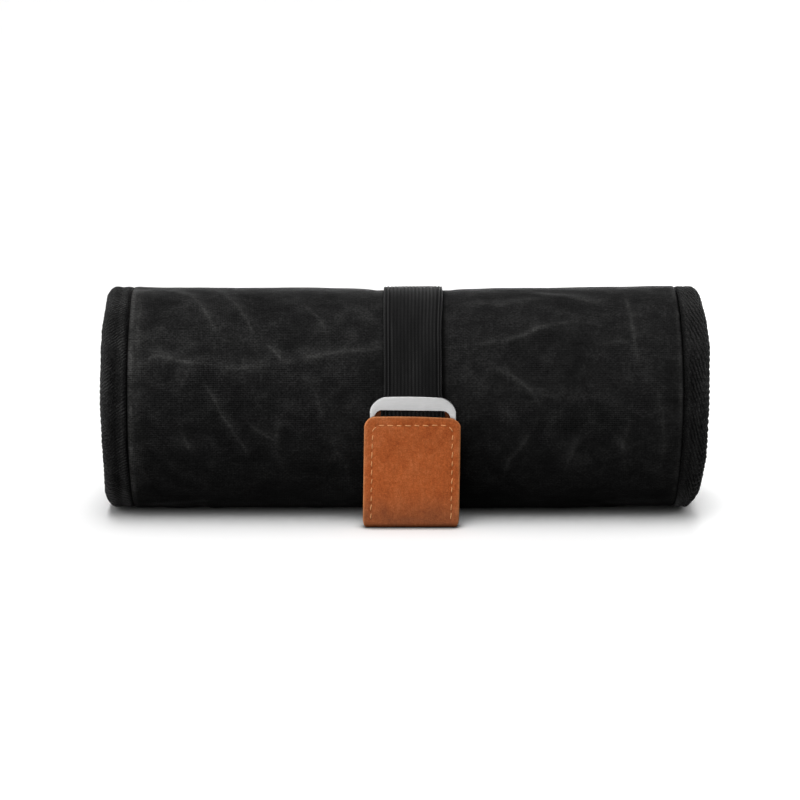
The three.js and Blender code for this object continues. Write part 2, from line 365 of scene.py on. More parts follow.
def sun(name, direction, strength, angle):
    d = bpy.data.lights.new(name, "SUN")
    d.energy = strength
    d.angle = math.radians(angle)
    o = bpy.data.objects.new(name, d)
    v = np.array(direction, float)
    v /= np.linalg.norm(v)
    o.rotation_euler = (math.acos(v[2]), 0, math.atan2(v[1], v[0]) + math.pi / 2)
    scene.collection.objects.link(o)
    return o


KEY = 1.32


def area(name, at, aim, size, energy):
    d = bpy.data.lights.new(name, "AREA")
    d.shape = "RECTANGLE"
    d.size, d.size_y = size
    d.energy = energy
    o = bpy.data.objects.new(name, d)
    from mathutils import Vector
    o.location = at
    o.rotation_euler = (Vector(aim) - Vector(at)).to_track_quat("-Z", "Y").to_euler()
    o.visible_camera = False
    scene.collection.objects.link(o)
    return o


# a long overhead box of light, narrow along the roll: several discs side by side from the back to the front
for _i, (_deg, _w) in enumerate([(-27, 0.109), (-15, 0.299), (-3, 0.368), (9, 0.389), (21, 0.368), (33, 0.299), (45, 0.109)]):
    sun(f"key_{_i}", (-0.05, -math.sin(math.radians(_deg)), math.cos(math.radians(_deg))), _w * KEY, 26)
area("front_fill", (-0.60, -1.6, 0.27), (0, 0, 0.05), (1.1, 0.45), 5.4)
area("left_fill", (-1.45, -0.80, 0.24), (-0.1, 0, 0.04), (0.9, 0.40), 8.8)
area("back_fill", (0.50, 1.75, 0.22), (0, 0, 0.05), (1.4, 0.40), 15.0)
scene.view_settings.view_transform = "Standard"
scene.view_settings.look = "None"


# ------------------------------------------------------------------ materials
class Mat:
    """A procedural material: a principled shader and the nodes that feed it."""

    def __init__(self, name, **constants):
        self.m = bpy.data.materials.new(name)
        self.m.use_nodes = True
        self.t = self.m.node_tree
        self.t.nodes.clear()
        self.out = self.t.nodes.new("ShaderNodeOutputMaterial")
        self.b = self.t.nodes.new("ShaderNodeBsdfPrincipled")
        self.t.links.new(self.b.outputs[0], self.out.inputs["Surface"])
        for k, v in constants.items():
            self.b.inputs[k.replace("_", " ")].default_value = v
        self._uv = None

    def put(self, sock, value):
        if isinstance(value, bpy.types.NodeSocket):
            self.t.links.new(value, sock)
        elif value is not None:
            sock.default_value = value

    def node(self, kind, out=0, props=None, **inputs):
        n = self.t.nodes.new("ShaderNode" + kind)
        for k, v in (props or {}).items():
            setattr(n, k, v)
        for k, v in inputs.items():
            self.put(n.inputs[int(k[1:])] if k[0] == "i" and k[1:].isdigit() else n.inputs[k.replace("_", " ")], v)
        return n.outputs[out]

    def uv(self):
        if self._uv is None:
            self._uv = self.node("UVMap", props={"uv_map": "UVMap"})
        return self._uv

    def xyz(self, v=None):
        n = self.t.nodes.new("ShaderNodeSeparateXYZ")
        self.put(n.inputs[0], v if v is not None else self.uv())
        return n.outputs[0], n.outputs[1], n.outputs[2]

    def vec(self, x, y, z=0.0):
        return self.node("CombineXYZ", i0=x, i1=y, i2=z)

    def math(self, op, a, b=None, c=None, clamp=False):
        n = self.t.nodes.new("ShaderNodeMath")
        n.operation = op
        n.use_clamp = clamp
        for s, v in zip(n.inputs, (a, b, c)):
            self.put(s, v)
        return n.outputs[0]

    def add(self, a, b):
        return self.math("ADD", a, b)

    def mul(self, a, b):
        return self.math("MULTIPLY", a, b)

    def noise(self, vector, scale, detail=3.0, rough=0.55, distortion=0.0):
        return self.node("TexNoise", Vector=vector, Scale=scale, Detail=detail, Roughness=rough, Distortion=distortion)

    def attr(self, name):
        return self.node("Attribute", out=2, props={"attribute_name": name, "attribute_type": "GEOMETRY"})

    def ramp(self, fac, stops, mode="LINEAR"):
        n = self.t.nodes.new("ShaderNodeValToRGB")
        n.color_ramp.interpolation = mode
        e = n.color_ramp.elements
        while len(e) < len(stops):
            e.new(0.5)
        for k, (p, c) in zip(e, stops):
            k.position = p
            k.color = (c, c, c, 1) if isinstance(c, (int, float)) else (*c, 1)
        self.put(n.inputs[0], fac)
        return n.outputs[0]

    def mapr(self, v, a, b, c, d):
        return self.node("MapRange", props={"clamp": True}, i0=v, i1=a, i2=b, i3=c, i4=d)

    def mix(self, fac, a, b, mode="MIX"):
        n = self.t.nodes.new("ShaderNodeMix")
        n.data_type = "RGBA"
        n.blend_type = mode
        self.put(n.inputs[0], fac)
        for s, v in ((n.inputs[6], a), (n.inputs[7], b)):
            self.put(s, (*v, 1) if isinstance(v, tuple) and len(v) == 3 else v)
        return n.outputs[2]

    def bump(self, height, distance, strength=1.0, normal=None):
        return self.node("Bump", Strength=strength, Distance=distance, Height=height, Normal=normal)

    def set(self, name, value):
        self.put(self.b.inputs[name.replace("_", " ")], value)


TAU = 2 * math.pi


def canvas_material():
    """Black waxed canvas: rounded cross threads, mottled wax, paler along creases and rubbed places; painted shade in
    the sewn seam, beside the strap and on the underside.
    """
    m = Mat("canvas_black", Specular_IOR_Level=0.005, Sheen_Weight=0.15, Sheen_Roughness=0.28)
    u, v, _ = m.xyz()
    wob = m.noise(m.vec(m.mul(u, 60.0), m.mul(v, 240.0)), 1.0, 2.0)
    vv = m.add(v, m.mul(wob, 0.0005))
    weft = m.math("SINE", m.mul(vv, TAU / 0.00085))
    warp = m.math("SINE", m.mul(u, TAU / 0.00075))
    cross = m.math("MULTIPLY", m.math("SINE", m.mul(vv, TAU / 0.0017)), m.math("SINE", m.mul(u, TAU / 0.0015)))
    patch = m.mapr(m.noise(m.vec(m.mul(u, 45.0), m.mul(v, 60.0), 2.0), 1.0, 3.0, 0.6), 0.38, 0.62, 0.15, 1.0)
    weave = m.add(m.mul(m.add(m.mul(weft, 0.40), m.mul(warp, 0.26)), patch), m.mul(cross, 0.14))
    slub = m.noise(m.vec(m.mul(u, 160.0), m.mul(v, 1150.0)), 1.0, 3.0, 0.62)
    big = m.noise(m.vec(m.mul(u, 26.0), m.mul(v, 30.0)), 1.0, 4.0, 0.6, 0.6)
    mid = m.noise(m.vec(m.mul(u, 120.0), m.mul(v, 130.0), 4.0), 1.0, 5.0, 0.65, 0.4)
    grain = m.noise(m.vec(m.mul(u, 900.0), m.mul(v, 1100.0)), 1.0, 2.0, 0.6)
    wear = m.attr("wear")
    tone = m.add(m.add(m.mul(big, 0.34), m.mul(mid, 0.40)), m.mul(grain, 0.26))
    base = m.ramp(tone, [(0.34, (0.0052, 0.0052, 0.0053)), (0.50, (0.0125, 0.0125, 0.0125)), (0.66, (0.0290, 0.0288, 0.0285))])
    pale = m.math("MULTIPLY", wear, m.mapr(m.add(m.mul(mid, 0.6), m.mul(grain, 0.4)), 0.34, 0.62, 0.35, 1.0), clamp=True)
    col = m.mix(pale, base, (0.080, 0.079, 0.077))
    soft = m.mapr(u, -0.05, 0.06, 1.0, 0.62)                # the weave is rubbed smoother towards one end
    thread = m.mapr(m.mul(m.add(m.add(weave, m.mul(m.add(slub, -0.5), 0.9)), m.mul(m.add(grain, -0.5), 1.1)), soft), -0.68, 0.76, 0.36, 1.66)
    col = m.mix(1.0, col, m.node("CombineColor", i0=thread, i1=thread, i2=thread), "MULTIPLY")
    # painted shade: the groove attribute turns the cloth near black and takes its sheen away
    groove = m.attr("groove")
    m.set("Base_Color", m.mix(groove, col, (0.0006, 0.0006, 0.0006)))
    m.set("Sheen_Weight", m.mapr(groove, 0.0, 1.0, 0.15, 0.0))
    m.set("Roughness", m.mapr(m.add(tone, m.mul(wear, 0.2)), 0.3, 0.8, 0.50, 0.72))
    h = m.add(m.add(m.mul(weave, 0.5), m.mul(slub, 0.5)), m.mul(mid, 0.9))
    m.set("Normal", m.bump(h, 0.00022, 0.75))
    return m.m


def tape_material(name="tape_black"):
    """Black woven tape: fine twill lines, fuzzy yarn and slightly rubbed ridges; painted shade at the seam and on the
    underside.
    """
    m = Mat(name, Specular_IOR_Level=0.02, Sheen_Weight=0.11, Sheen_Roughness=0.3)
    u, v, _ = m.xyz()
    fine = m.math("SINE", m.mul(m.add(m.mul(u, 0.82), m.mul(v, 0.57)), TAU / 0.00062))
    thread = m.math("SINE", m.mul(m.add(m.mul(u, -0.5), m.mul(v, 0.87)), TAU / 0.00045))
    big = m.noise(m.vec(m.mul(u, 75.0), m.mul(v, 60.0)), 1.0, 4.0, 0.6)
    yarn = m.noise(m.vec(m.mul(u, 620.0), m.mul(v, 700.0)), 1.0, 3.0, 0.7, 0.4)
    fuzz = m.noise(m.vec(m.mul(u, 1700.0), m.mul(v, 1700.0)), 1.0, 2.0, 0.6)
    ridge = m.attr("ridge")
    sway = m.noise(m.vec(m.mul(u, 190.0), m.mul(v, 130.0), 7.0), 1.0, 2.0, 0.5)
    line = m.math("SINE", m.add(m.mul(m.add(m.mul(u, 0.52), m.mul(v, 0.854)), TAU / 0.00128), m.mul(sway, 8.0)))
    line = m.math("MULTIPLY", line, m.math("MULTIPLY", m.attr("twill"), m.mapr(big, 0.40, 0.64, 0.15, 1.5)))
    f = m.add(m.add(m.mul(big, 0.26), m.mul(yarn, 0.36)), m.add(m.add(m.mul(fuzz, 0.62), m.mul(line, 0.075)), m.mul(ridge, 0.34)))
    col = m.ramp(f, [(0.57, (0.0026, 0.0026, 0.0027)), (0.77, (0.0146, 0.0145, 0.0144)), (0.99, (0.050, 0.0495, 0.049))])
    # painted shade: the groove attribute turns the tape near black at its seam edge and on the underside
    m.set("Base_Color", m.mix(m.attr("groove"), col, (0.0006, 0.0006, 0.0006)))
    m.set("Roughness", m.mapr(f, 0.4, 1.1, 0.80, 0.62))
    h = m.add(m.add(m.mul(fine, 0.30), m.mul(thread, 0.16)), m.add(m.mul(fuzz, 1.1), m.add(m.mul(line, 0.5), m.mul(yarn, 1.0))))
    m.set("Normal", m.bump(h, 0.00020, 0.75))
    return m.m


def elastic_material():
    """Black ribbed elastic: fine cross threads, slightly glossier cords, with painted highlights on the rib crests and
    selvedge cords and painted shade in the furrows.
    """
    m = Mat("elastic_black", Specular_IOR_Level=0.04, Sheen_Weight=0.14, Sheen_Roughness=0.28)
    u, v, _ = m.xyz()
    knit = m.math("SINE", m.mul(v, TAU / 0.0008))
    cord = m.math("SINE", m.mul(u, TAU / 0.0015))
    big = m.noise(m.vec(m.mul(u, 160.0), m.mul(v, 45.0)), 1.0, 3.0, 0.6)
    lines = m.noise(m.vec(m.mul(u, 700.0), m.mul(v, 40.0), 3.0), 1.0, 2.0, 0.6)
    fuzz = m.noise(m.vec(m.mul(u, 1800.0), m.mul(v, 1300.0)), 1.0, 2.0, 0.6)
    rib = m.attr("ridge")
    # the ridge attribute is painted light: rib crests and selvedge cords paler, furrows darker
    f = m.add(m.add(m.mul(rib, 0.42), m.mul(big, 0.20)), m.add(m.add(m.mul(fuzz, 0.16), m.mul(lines, 0.22)), m.mul(m.math("MULTIPLY", knit, cord), 0.08)))
    col = m.ramp(f, [(0.2, (0.0028, 0.0028, 0.0029)), (0.52, (0.0094, 0.0093, 0.0094)), (0.85, (0.0310, 0.0308, 0.0308))])
    m.set("Base_Color", col)
    m.set("Roughness", m.mapr(f, 0.2, 0.9, 0.72, 0.52))
    h = m.add(m.mul(knit, 0.35), m.mul(fuzz, 0.55))
    m.set("Normal", m.bump(h, 0.00014, 0.7))
    return m.m


def leather_material():
    """Tan pull-up leather: cloudy dye, fine grain and pores, paler at cut edges (the raw edge's own colour and a
    painted highlight), darker and greyer low down, and painted shade where the dark attribute is set.
    """
    m = Mat("leather_tan", Specular_IOR_Level=0.10, Coat_Weight=0.0, Coat_Roughness=0.35)
    u, v, _ = m.xyz()
    cloud = m.noise(m.vec(m.mul(u, 62.0), m.mul(v, 54.0)), 1.0, 5.0, 0.62, 0.7)
    spot = m.noise(m.vec(m.mul(u, 260.0), m.mul(v, 230.0), 5.0), 1.0, 4.0, 0.65, 0.5)
    grain = m.noise(m.vec(m.mul(u, 820.0), m.mul(v, 760.0), 9.0), 1.0, 4.0, 0.68)
    pore = m.node("TexVoronoi", props={"feature": "DISTANCE_TO_EDGE"}, Vector=m.vec(m.mul(u, 1250.0), m.mul(v, 1150.0)), Scale=1.0)
    fine = m.noise(m.vec(m.mul(u, 1700.0), m.mul(v, 1700.0)), 1.0, 3.0, 0.6)
    edge = m.attr("edge")
    low = m.attr("low")
    t = m.add(m.add(m.add(m.mul(cloud, 0.48), m.mul(spot, 0.30)), m.add(m.mul(grain, 0.24), m.mul(fine, 0.20))), -0.11)
    col = m.ramp(t, [(0.34, (0.376, 0.075, 0.0157)), (0.50, (0.526, 0.127, 0.0315)), (0.66, (0.65, 0.193, 0.065))])
    col = m.mix(m.math("MULTIPLY", low, m.mapr(cloud, 0.35, 0.65, 0.75, 0.40), clamp=True), col, (0.225, 0.086, 0.042))
    # the cut edges' own paler colour, with a painted highlight where light would catch the rim
    col = m.mix(m.math("MULTIPLY", edge, m.mapr(spot, 0.3, 0.7, 0.45, 0.9), clamp=True), col, (0.78, 0.32, 0.125))
    # painted shade: the dark attribute
    col = m.mix(m.attr("dark"), col, (0.06, 0.019, 0.007))
    streak = m.noise(m.vec(m.mul(u, 760.0), m.mul(v, 150.0), 3.0), 1.0, 3.0, 0.6)
    speck = m.mapr(m.add(m.add(m.mul(grain, 0.32), m.mul(fine, 0.38)), m.mul(streak, 0.30)), 0.34, 0.66, 0.75, 1.22)
    col = m.mix(1.0, col, m.node("CombineColor", i0=speck, i1=speck, i2=speck), "MULTIPLY")
    m.set("Base_Color", col)
    m.set("Roughness", m.mapr(m.add(t, m.mul(fine, 0.2)), 0.35, 0.8, 0.44, 0.62))
    h = m.add(m.mul(m.mapr(pore, 0.0, 0.25, 0.0, 1.0), 0.6), m.add(m.mul(grain, 0.9), m.mul(spot, 0.8)))
    m.set("Normal", m.bump(h, 0.00012, 0.7))
    return m.m


def thread_material(name, dark, light):
    m = Mat(name, Specular_IOR_Level=0.3)
    u, v, _ = m.xyz()
    ply = m.math("SINE", m.mul(m.add(u, m.mul(v, 0.8)), TAU / 0.0006))
    fuzz = m.noise(m.vec(m.mul(u, 2500.0), m.mul(v, 2500.0)), 1.0, 2.0)
    f = m.add(m.mul(m.add(ply, 1.0), 0.28), m.mul(fuzz, 0.45))
    m.set("Base_Color", m.ramp(f, [(0.15, dark), (0.8, light)]))
    m.set("Roughness", m.mapr(f, 0.1, 0.9, 0.75, 0.55))
    m.set("Normal", m.bump(f, 0.00008, 0.8))
    return m.m


def metal_material(name, colour, rough=(0.28, 0.42), scale=1.0):
    """Satin nickel: fine brushing and faint blotches."""
    m = Mat(name, Metallic=1.0)
    p = m.node("TexCoord", out=3)
    x, y, z = m.xyz(p)
    brush = m.noise(m.vec(m.mul(x, 260.0 * scale), m.mul(y, 3000.0 * scale), m.mul(z, 3800.0 * scale)), 1.0, 3.0, 0.6)
    blot = m.noise(p, 240.0 * scale, 3.0, 0.6)
    f = m.add(m.mul(brush, 0.6), m.mul(blot, 0.4))
    lo = tuple(c * 0.86 for c in colour)
    m.set("Base_Color", m.ramp(f, [(0.3, lo), (0.65, colour)]))
    m.set("Roughness", m.mapr(f, 0.3, 0.7, rough[0], rough[1]))
    m.set("Normal", m.bump(f, 0.00003, 0.35))
    return m.m


def lining_material():
    """Grey-brown woven lining."""
    m = Mat("lining_cloth", Specular_IOR_Level=0.2, Sheen_Weight=0.05)
    u, v, _ = m.xyz()
    a = m.math("SINE", m.mul(u, TAU / 0.0007))
    b = m.math("SINE", m.mul(v, TAU / 0.0007))
    weave = m.math("MULTIPLY", a, b)
    big = m.noise(m.vec(m.mul(u, 40.0), m.mul(v, 40.0)), 1.0, 4.0, 0.6)
    slub = m.noise(m.vec(m.mul(u, 900.0), m.mul(v, 120.0)), 1.0, 3.0, 0.6)
    f = m.add(m.add(m.mul(big, 0.5), m.mul(slub, 0.3)), m.mul(weave, 0.10))
    m.set("Base_Color", m.ramp(f, [(0.25, (0.075, 0.068, 0.058)), (0.6, (0.125, 0.115, 0.098))]))
    m.set("Roughness", m.mapr(f, 0.2, 0.7, 0.85, 0.7))
    m.set("Normal", m.bump(m.add(m.mul(weave, 0.5), m.mul(slub, 0.6)), 0.00015, 0.7))
    return m.m


CANVAS = canvas_material()
TAPE = tape_material()
ELASTIC = elastic_material()
LEATHER = leather_material()
THREAD = thread_material("thread_cream", (0.70, 0.29, 0.10), (1.0, 0.55, 0.24))
THREAD_BLACK = thread_material("thread_black", (0.006, 0.006, 0.006), (0.03, 0.03, 0.03))
RING_METAL = metal_material("ring_satin_nickel", (0.482, 0.482, 0.482))
ZIP_METAL = metal_material("zip_satin_nickel", (0.30, 0.295, 0.285), (0.34, 0.50))
STEEL = metal_material("plain_steel", (0.5, 0.5, 0.51))
LINING = lining_material()
COIL = tape_material("zip_coil_black")


def finish_piece(o, material):
    o.data.materials.append(material)
    return o


# ------------------------------------------------------------------ the rolled panel
MIDS = [(a + b) / 2 for _, a, b in LENGTHS]
CUTS = [150.0] + MIDS + [1080.0]
NAMES = [n for n, _, _ in LENGTHS]
n_lump, n_fold, n_fine, n_seam, n_wear = Noise(11), Noise(12), Noise(13), Noise(14), Noise(15)

# creases in the cloth: points of the picture, half width (mm), height (mm), paleness
CREASES = [
    ([(176, 291), (192, 296), (202, 306), (211, 323), (219, 338), (232, 343)], 2.4, 0.46, 0.50),
    ([(222, 292), (238, 306), (248, 322), (254, 338), (258, 352)], 2.3, 0.42, 0.44),
    ([(145, 367), (152, 358), (160, 356), (178, 361), (208, 364)], 2.5, 0.55, 0.74),
    ([(208, 364), (236, 368), (268, 365)], 3.0, 0.36, 0.34),
    ([(266, 343), (275, 351), (285, 366)], 2.3, 0.32, 0.42),
    ([(262, 366), (284, 362), (303, 358), (325, 354), (354, 350), (386, 346)], 2.9, 0.42, 0.42),
    ([(203, 382), (214, 398), (220, 412), (230, 426), (239, 440), (249, 452)], 2.3, 0.46, 0.44),
    ([(246, 420), (257, 430), (276, 441)], 2.3, 0.38, 0.36),
    ([(190, 364), (184, 380), (176, 398)], 2.6, 0.32, 0.26),
    ([(131, 445), (140, 462), (151, 482)], 2.8, 0.55, 0.26),
    ([(139, 440), (150, 466), (163, 490)], 2.8, -0.45, 0.0),
    ([(142, 300), (139, 340), (142, 392)], 2.6, 0.32, 0.26),
    ([(181, 430), (187, 444), (196, 456)], 2.6, 0.30, 0.32),
    ([(280, 416), (276, 440), (277, 464)], 2.6, 0.34, 0.24),
    ([(300, 300), (322, 322), (330, 344)], 3.0, 0.28, 0.20),
    ([(300, 372), (316, 392), (322, 420)], 3.0, 0.30, 0.22),
    ([(330, 440), (346, 462), (352, 490)], 2.8, 0.34, 0.20),
    ([(446, 347), (478, 344), (509, 340), (524, 335), (538, 328), (554, 324), (573, 322), (600, 325)], 2.7, 0.50, 0.44),
    ([(598, 345), (616, 342), (634, 342)], 2.6, 0.30, 0.30),
    ([(625, 298), (630, 316), (633, 336), (637, 364)], 2.3, 0.52, 0.48),
    ([(674, 312), (679, 320)], 2.4, 0.36, 0.62),
    ([(496, 368), (513, 376), (526, 386), (536, 397), (539, 406)], 2.5, 0.42, 0.42),
    ([(538, 416), (530, 432), (521, 446), (509, 459), (503, 479)], 2.5, 0.44, 0.36),
    ([(580, 432), (571, 454), (564, 472)], 2.4, 0.36, 0.32),
    ([(630, 417), (622, 444), (626, 472)], 2.4, 0.40, 0.32),
    ([(655, 390), (662, 440), (655, 485)], 2.8, 0.40, 0.22),
    ([(530, 292), (562, 296), (600, 304)], 2.6, 0.34, 0.32),
    ([(470, 300), (500, 304), (540, 298)], 2.8, 0.30, 0.20),
]


def crease_lines():
    """The creases as lines of (x, distance along the panel); the picture shows the outer turn, 360 degrees on."""
    out = []
    for pts, w, h, pale in CREASES:
        p = np.array(pts, float)
        x, phi = pixel_to_roll(p[:, 0], p[:, 1])
        out.append((np.stack([x, arc(phi + 360)], -1), w, h, pale))
    # the same cloth creases round the back, where it is not seen: shorter, softer folds
    rs = np.random.RandomState(7)
    for k in range(34):
        phi = rs.uniform(165, 312) if k < 24 else rs.uniform(460, 500)
        x0, a, ln = rs.uniform(-105, 105), rs.uniform(-0.9, 0.9), rs.uniform(14, 34)
        if abs(x0 - STRAP_X) < 22 and phi > 400:
            continue
        t = np.linspace(-0.5, 0.5, 4)
        bend = rs.uniform(-5, 5)
        vert = rs.uniform() < 0.45
        dx = (math.sin(a) if vert else math.cos(a)) * ln * t + (bend * (t * t) if vert else 0)
        ds = (math.cos(a) if vert else math.sin(a)) * ln * t + (0 if vert else bend * (t * t))
        out.append((np.stack([np.clip(x0 + dx, -112, 112), arc(phi) + ds], -1), rs.uniform(1.8, 2.8), rs.uniform(0.25, 0.55),
                    rs.uniform(0.2, 0.6)))
    return out


LINES = crease_lines()


def crease_field(x, s):
    """Height (mm) and paleness that the creases give at (x, distance along the panel)."""
    h, pale = np.zeros_like(x), np.zeros_like(x)
    for pts, w, height, p in LINES:
        lo, hi = pts.min(0) - 4 * w, pts.max(0) + 4 * w
        near = (x > lo[0]) & (x < hi[0]) & (s > lo[1]) & (s < hi[1])
        if not near.any():
            continue
        q = np.stack([x[near], s[near]], -1)
        best = np.full(len(q), 1e9)
        side = np.zeros(len(q))
        along = np.zeros(len(q))
        total = np.linalg.norm(np.diff(pts, axis=0), axis=1).sum()
        run = 0.0
        for a, b in zip(pts[:-1], pts[1:]):
            d = b - a
            ln = np.linalg.norm(d)
            t = np.clip(((q - a) @ d) / (ln * ln), 0, 1)
            rel = q - (a + t[:, None] * d)
            dist = np.linalg.norm(rel, axis=1)
            closer = dist < best
            best = np.where(closer, dist, best)
            side = np.where(closer, np.sign(d[0] * rel[:, 1] - d[1] * rel[:, 0]), side)
            along = np.where(closer, (run + t * ln) / total, along)
            run += ln
        taper = np.sin(np.pi * np.clip(along * 0.88 + 0.06, 0, 1)) ** 0.7
        d = best * side
        h[near] += taper * height * (bump(d, w) - 0.75 * bump(d - 2.1 * w, 1.5 * w))
        pale[near] = np.maximum(pale[near], taper * p * (0.82 * bump(d, 0.27 * w) + 0.33 * bump(d - 0.25 * w, 1.1 * w)))
    return h, pale


SEAM_OUT = {1: pchip([(150, 0), (250, 0), (285, 0.3), (310, 0.6), (335, 1.2), (367, 1.7), (395, 1.45), (415, 1.05), (440, 0.65), (470, 0.4), (512, 0), (1090, 0)]),
            -1: pchip([(150, 0), (250, 0), (285, 0.35), (320, 0.45), (367, 0.6), (415, 0.85), (440, 1.15), (470, 0.6), (512, 0), (1090, 0)])}
END_OUT = {1: pchip([(150, 0), (232, 0), (262, -2.4), (282, -3.4), (295, -3.1), (301, -2.35), (306, -1.75), (312, -1.45), (322, -0.85), (334, -0.08), (346, 0),
                     (358, 0.3), (378, 0.6), (399, 1.05), (408, 0.75), (416, 0.42), (426, -0.2), (432, -0.45), (446, -0.6), (470, -0.4), (512, 0), (592, 0), (622, -2.4), (642, -3.8), (655, -3.6), (668, -2.8), (682, -2.0), (694, -1.2),
                     (708, -0.5), (722, 0), (1090, 0)]),
           -1: pchip([(150, 0), (300, 0), (312, -0.3), (322, -0.5), (346, -0.4), (357, -0.1), (367, 0), (400, 0), (408, 0.15), (416, -0.2), (426, -0.45),
                      (433, -0.5), (442, -0.3), (462, 0), (1090, 0)])}


def seam_warp(x, phi):
    """The sewn line wanders along the roll: x moved with it, most at the seam and not at all away from it."""
    a = np.abs(x)
    w = smooth(88, 116.5, a) * (1 - smooth(118.6, 127.5, a))
    return x + np.sign(x) * w * np.where(x > 0, SEAM_OUT[1](phi), SEAM_OUT[-1](phi))


def belly(x, phi):
    """The underside stands off the floor by a little in front of where the roll rests."""
    return -(0.08 + 0.36 * smooth(45, 105, np.abs(x))) * bump(phi - 285, 12)


def canvas_shape(x, phi):
    """Height of the outer cloth above the nominal roll, and how rubbed it is there."""
    s = arc(phi)
    d = np.maximum(np.abs(x - STRAP_X) - STRAP_HALF, 0)
    strap = smooth(338, 384, phi) * (1 - smooth(498, 515, phi))
    cinch = -(0.85 * bump(d, 6.0) + 0.65 * bump(d, 30.0)) * strap
    ds = SEAM - np.abs(x)
    side = np.where(x > 0, 0.0, 9.0)
    pk = n_seam(s / 10.0 + side, ds / 16.0)
    pk2 = n_seam(s / 4.5 + side, ds / 9.0 + 5)
    seam = (0.16 * bump(ds - 2.6, 1.8) * (1 + 0.6 * pk) + 0.10 * bump(ds - 9, 7.0) + (0.34 * pk + 0.14 * pk2) * bump(ds - 5, 9.0) * smooth(0, 3, ds)
            - 0.62 * bump(np.maximum(ds - 0.1, 0), 0.50))
    lump = 0.36 * n_lump(x / 52, s / 40) + 0.22 * n_fold(x / 23, s / 19) + 0.09 * n_fine(x / 8, s / 7)
    outer = 1 - 0.75 * smooth(505, 530, phi)
    ch, pale = crease_field(x, s)
    hide = 1 - smooth(STRAP_HALF + 4, STRAP_HALF + 1, np.abs(x - STRAP_X)) * strap
    crown = ((-0.36 * bump(x + 70, 30) - 0.40 * bump(x - 50, 22) + 0.34 * smooth(94, 110, x) - 0.12 * smooth(-98, -110, x))
             * smooth(398, 432, phi) * (1 - smooth(500, 520, phi)))
    off = cinch + seam + crown + belly(x, phi) + (lump + ch) * outer * np.where(hide > 0, hide, 0)
    off = np.minimum(off, 1.1)
    blot = np.clip(n_wear(x / 13, s / 11) * 0.6 + n_fine(x / 5, s / 4) * 0.4, 0, 1) ** 1.5
    wear = pale * (0.78 + 0.55 * np.clip(n_wear(x / 4 + 20, s / 3.5), -0.6, 1)) + 0.10 * blot + 0.30 * bump(ds - 1.7, 0.9) * (0.6 + 0.6 * pk2)
    wear = wear + np.where(x < 0, 0.25 * bump(np.maximum(np.abs(ds - 1.6) - 0.5, 0), 0.8) + 0.20 * bump(ds - 3.6, 2.6), 0.0) * (0.9 + 0.4 * pk2)
    return off, np.clip(wear, 0, 1)


def painted_underside_shade(phi):
    """Painted shade on the underside, where the roll rests on the floor."""
    return 0.96 * smooth(226, 252, phi) * (1 - smooth(290, 326, phi))


def painted_shade_field(x, phi):
    """Painted shade on the cloth: in the sewn seam beside the tape, a painted shadow along the strap's edges (deeper on
    its right), and the painted shade on the underside.
    """
    ds = SEAM - np.abs(x)
    g = 1 - smooth(0.30, 1.15, ds)
    strap = smooth(338, 366, phi) * (1 - smooth(480, 500, phi))
    e = x - STRAP_X
    g = np.maximum(g, strap * np.where(e > 0, 0.80 * bump(np.maximum(e - STRAP_HALF - 0.1, 0), 1.0), 0.45 * bump(np.maximum(-e - STRAP_HALF - 0.1, 0), 0.8)))
    return np.clip(np.maximum(g, painted_underside_shade(phi)), 0, 1)


X_FINE = np.concatenate([[-118.4, -117.6], np.linspace(-117.0, -113.0, 13)[0:-1], np.linspace(-113.0, 113.0, 262),
                         np.linspace(113.0, 117.0, 13)[1:], [117.6, 118.4]])
X_COARSE = np.concatenate([[-118.4, -117.0, -115.0], np.linspace(-112.0, 112.0, 57), [115.0, 117.0, 118.4]])


def rows(a, b, step):
    return np.linspace(a, b, max(3, int(round((arc(b) - arc(a)) / step)) + 1))


def carry(o, k):
    """Piece k of the panel: the end pieces follow the flap or the core, the pieces between them stay where they are."""
    if k == 0:
        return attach(o, "flap")
    if k == len(CUTS) - 2:
        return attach(o, "core")
    p = place(0.0, np.array([CUTS[k], CUTS[k + 1]]), -2.0) * 0.001
    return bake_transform(o)


def piece_name(prefix, k):
    if k == 0:
        return prefix + "_flap_end"
    if k == len(CUTS) - 2:
        return prefix + "_core_end"
    return f"{prefix}_{NAMES[k - 1]}_to_{NAMES[k]}"


for k in range(len(CUTS) - 1):
    fine = k <= 5
    xs = X_FINE if fine else X_COARSE
    ph = rows(CUTS[k], CUTS[k + 1], 0.9 if fine else 3.0)
    step = ph[1] - ph[0]
    ext = np.concatenate([[ph[0] - step], ph, [ph[-1] + step]])
    PH, X = np.meshgrid(np.clip(ext, 150, 1089), xs, indexing="ij")
    off, wear = canvas_shape(X, PH)
    XW = seam_warp(X, PH)
    PO = place(XW, PH, off)
    PI = place(XW, PH, off - 0.9)
    ok = slice(1, -1)
    NO = grid_normals(PO)
    flip = NO[len(ph) // 2, len(xs) // 2] @ np.array([0, PO[len(ph) // 2, 0, 1], PO[len(ph) // 2, 0, 2] - AXIS]) < 0
    if flip:
        NO = -NO
    if k == 0:
        NO[1] = NO[2]
    uv = np.stack([X[ok], arc(PH[ok])], -1) * 0.001
    # the groove attribute is painted shade: in the seam, beside the strap and on the underside
    o = slab(piece_name("shell", k), PO[ok], PI[ok], uv, {"wear": wear[ok], "groove": painted_shade_field(X, PH)[ok]}, flip=flip, normals=(NO[ok], -NO[ok]))
    finish_piece(o, CANVAS)
    carry(o, k)
    if k < len(NAMES):
        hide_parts("canvas_" + NAMES[k])


